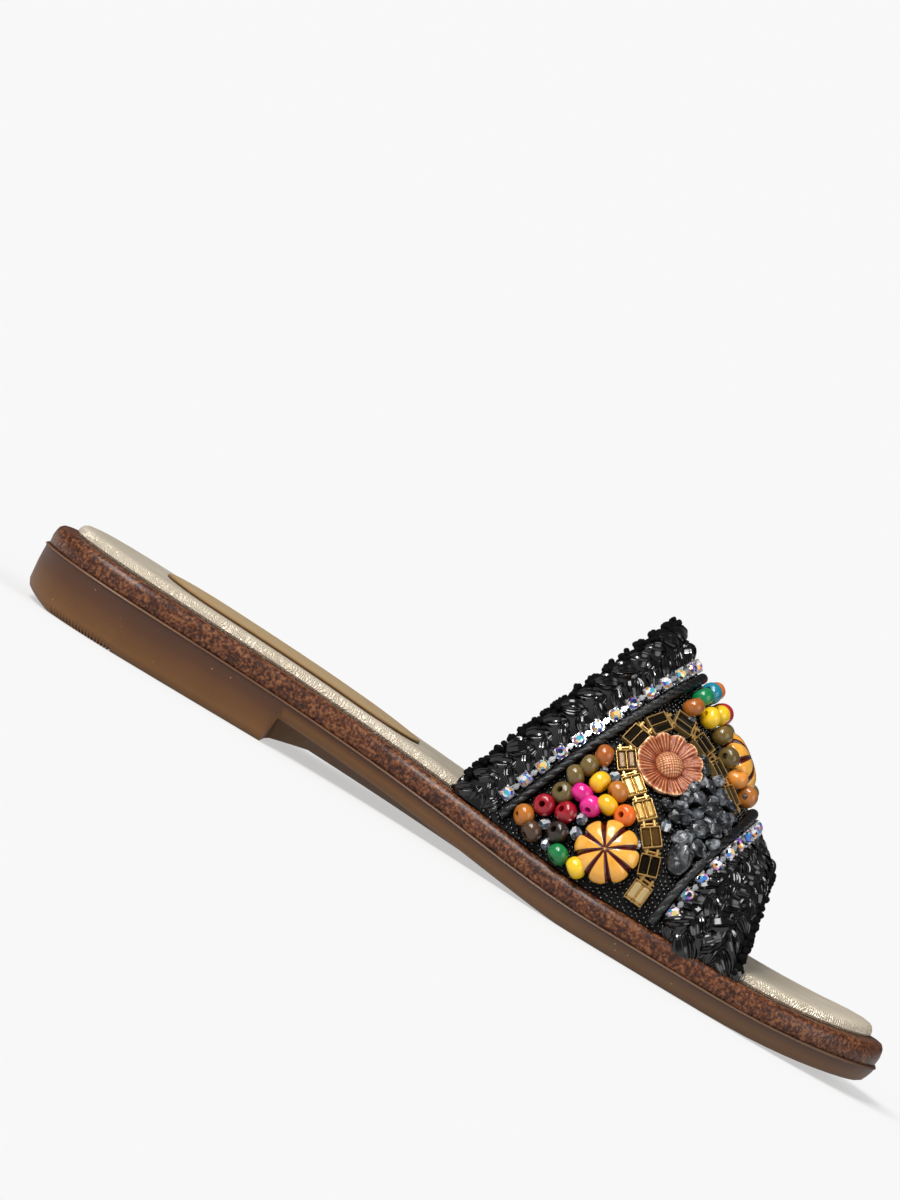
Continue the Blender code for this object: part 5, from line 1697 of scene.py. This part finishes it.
# %% Slate chips
Chip = namedtuple("Chip", "along rise length")
CHIPS = [
    Chip(0.648, 0.440, 7.5), Chip(0.612, 0.530, 5.0), Chip(0.668, 0.560, 5.5), Chip(0.575, 0.625, 5.0),
    Chip(0.635, 0.640, 6.0), Chip(0.676, 0.700, 4.5), Chip(0.565, 0.735, 5.0), Chip(0.622, 0.750, 5.5),
    Chip(0.672, 0.800, 5.0), Chip(0.530, 0.690, 4.5), Chip(0.515, 0.800, 4.5), Chip(0.560, 0.820, 4.5),
    Chip(0.615, 0.840, 4.5), Chip(0.470, 0.860, 3.8), Chip(0.655, 0.870, 4.2), Chip(0.590, 0.690, 4.5),
    Chip(0.700, 0.640, 4.0), Chip(0.705, 0.760, 4.0), Chip(0.545, 0.590, 3.8), Chip(0.655, 0.500, 4.5),
    Chip(0.600, 0.790, 4.0), Chip(0.640, 0.710, 4.0), Chip(0.520, 0.745, 4.0), Chip(0.700, 0.850, 3.8),
    Chip(0.498, 0.590, 3.4), Chip(0.530, 0.640, 3.6), Chip(0.690, 0.580, 4.0), Chip(0.620, 0.590, 4.2),
    Chip(0.685, 0.690, 4.4), Chip(0.500, 0.845, 4.2), Chip(0.560, 0.870, 4.0), Chip(0.690, 0.800, 4.2),
]
CHIP_GROWTH, CHIP_BREADTH, CHIP_THICKNESS, CHIP_CUTS, CHIP_KINDS = 1.24, 0.72, 0.62, 6, 4
SLATE_TINTS = ["#1f2023", "#35383c", "#50545a", "#6f7379", "#969aa0", "#2a2c2f", "#43464a"]


def chip_shape(seed):
    """Tumbled stone: a cut-down ball with broad uneven facets, one unit long."""
    chance = random.Random(seed)
    mesh = bmesh.new()
    bmesh.ops.create_icosphere(mesh, subdivisions=2, radius=0.5)
    for n in range(CHIP_CUTS):
        toward = (chance.uniform(-1, 1), chance.uniform(-1, 1), chance.uniform(-0.4, 1))
        normal = Vector(toward).normalized()
        depth = chance.uniform(0.34, 0.44)
        for vert in mesh.verts:
            over = vert.co.dot(normal) - depth
            if over > 0:
                vert.co -= normal * over
    for vert in mesh.verts:
        vert.co.y *= CHIP_BREADTH
        vert.co.z *= CHIP_THICKNESS
    return shape_object(f"chip_{seed}", mesh, sharp=24)


def lay_chips(word, side):
    """Chips on one side, in four shapes."""
    chance = random.Random(71)
    groups = [[] for kind in range(CHIP_KINDS)]
    for chip in CHIPS:
        size = chip.length / 1000 * CHIP_GROWTH
        lift = ON_WALL + size * 0.20 + chance.uniform(0, 0.0016)
        stand = strap_frame(chip.along, turn_of(chip.rise, side), lift, chance.uniform(0, 180) * -side)
        tip = Matrix.Rotation(radians(chance.uniform(-22, 22)), 4, "Y")
        group = groups[chance.randrange(CHIP_KINDS)]
        group.append(Copy(stand @ tip, (size, size, size), chance.choice(SLATE_TINTS)))
    for kind, copies in enumerate(groups):
        nodes = () if kind else (f"chips_{word}",)
        chips = scatter(f"slate_chips_{word}_{kind}", chip_shape(40 + kind), copies, SLATE)
        hand_over(chips, "stone_chips", *nodes)


for word, side in SIDES:
    lay_chips(word, side)

# %% [markdown]
# ## Seed beads on the field
# The open field between the cords glitters with tiny black glass beads sewn close together. They are
# laid in staggered rows, which a real bead loom gives, each with a little chance in its place.

# %% Seed beads
SEED_PITCH, SEED_FIELD = 0.00124, 0.066
SEEDS_FROM, SEEDS_RUN = 0.11, 0.70
# Millimetres over the arch at the back, and what it loses towards the front
ARCH_RUN, ARCH_LOSS = 150, 60


def seed_shape():
    """Tiny round glass bead."""
    mesh = bmesh.new()
    bmesh.ops.create_icosphere(mesh, subdivisions=1, radius=0.5)
    return shape_object("seed", mesh, sharp=60)


def lay_seeds():
    """Staggered rows of seed beads over the field between the cords."""
    chance = random.Random(9)
    copies = []
    rows = int(SEED_FIELD / SEED_PITCH)
    for n in range(rows):
        along = SEEDS_FROM + SEEDS_RUN * (n + 0.5) / rows
        count = int((ARCH_RUN - ARCH_LOSS * along) / 1000 / SEED_PITCH)
        stagger = 0.5 if n % 2 else 0.0
        for k in range(count):
            turn = 0.003 + 0.994 * (k + stagger + chance.uniform(-0.2, 0.2)) / count
            low_limit = row_along(BACK_CHAIN, turn) - 0.01
            high_limit = row_along(FRONT_CHAIN, turn) + 0.01
            if not low_limit < along < high_limit or not 0.001 < turn < 0.999:
                continue
            grow = chance.uniform(0.00085, 0.00105)
            lift = WALL + grow * 0.30
            here, out, _ = strap_axes(along + chance.uniform(-0.003, 0.003), turn)
            copies.append(Copy(Matrix.Translation(here + out * lift), (grow, grow, grow), SEED_TINT))
    print("seed beads:", len(copies))
    return hand_over(scatter("seed_beads", seed_shape(), copies, SEED_GLASS), "raffia")


lay_seeds()

# %% [markdown]
# ## Floor and light
# The studio is one even white. The floor runs on to the horizon, where it meets a world of the same
# white, so no edge shows. Broad suns light it evenly from end to end: a soft key from above the heel,
# a small hard one for the bright glints on glass and raffia, and a fill from the toe. The white that
# the camera sees is brighter than the light it gives, and dimmer still in reflections, which keeps
# glossy black dark.

# %% Floor, lights and view
PAPER_WHITE, PAPER_SHADE, PAPER_GLOW, GLOW_ON_SHOE, FLOOR_REACH = 0.94, 0.34, 0.516, 0.45, 60.0
ROOM_LIGHT, ROOM_IN_GLOSS = 0.38, 0.12


def seen_or_not(tree, seen, unseen):
    """A strength that is one value for what the camera sees and another for light and reflections."""
    ray = add(tree, "ShaderNodeLightPath")
    pick = add(tree, "ShaderNodeMapRange", inputs={
        "Value": ray.outputs["Is Camera Ray"], "To Min": unseen, "To Max": seen})
    return pick.outputs[0]


def make_floor():
    """Flat white floor that takes soft shadows."""
    corners = ((-1, -1), (1, -1), (1, 1), (-1, 1))
    verts = [Vector((x * FLOOR_REACH, y * FLOOR_REACH, 0)) for x, y in corners]
    material, tree = new_material("pale_studio_paper")
    paper = add(tree, "ShaderNodeBsdfDiffuse", inputs={
        "Color": (PAPER_SHADE, PAPER_SHADE, PAPER_SHADE, 1)})
    strength = seen_or_not(tree, PAPER_GLOW, PAPER_GLOW * GLOW_ON_SHOE)
    glow = add(tree, "ShaderNodeEmission", inputs={"Color": (1, 1, 1, 1), "Strength": strength})
    both = add(tree, "ShaderNodeAddShader", inputs={0: paper.outputs[0], 1: glow.outputs[0]})
    close_material(material, both)
    mesh_object("floor", verts, [(0, 1, 2, 3)], material)


def add_sun(name, toward, degrees, strength):
    """Sun that shines from a direction, as broad as its degrees."""
    data = bpy.data.lights.new(name, "SUN")
    data.angle, data.energy = radians(degrees), strength
    light = add_object(name, data)
    light.rotation_euler = Vector(toward).to_track_quat("Z", "Y").to_euler()


def light_studio():
    """World and three suns."""
    world = bpy.data.worlds.new("studio")
    world.use_nodes = True
    tree = world.node_tree
    tree.nodes["Background"].inputs["Color"].default_value = (1, 1, 1, 1)
    ray = add(tree, "ShaderNodeLightPath")
    lit = add(tree, "ShaderNodeMapRange", inputs={
        "Value": ray.outputs["Is Glossy Ray"], "To Min": ROOM_LIGHT, "To Max": ROOM_IN_GLOSS})
    seen = seen_or_not(tree, PAPER_WHITE, lit.outputs[0])
    tree.links.new(seen, tree.nodes["Background"].inputs["Strength"])
    bpy.context.scene.world = world
    add_sun("key", toward=(-0.55, -0.45, 0.75), degrees=34, strength=2.4)
    add_sun("glint", toward=(-0.30, -0.70, 0.62), degrees=8, strength=1.0)
    add_sun("fill", toward=(0.80, -0.55, 0.40), degrees=45, strength=0.9)
    view = bpy.context.scene.view_settings
    view.view_transform, view.look = "Standard", "None"


make_floor()
light_studio()
print("lights:", len(bpy.data.lights))
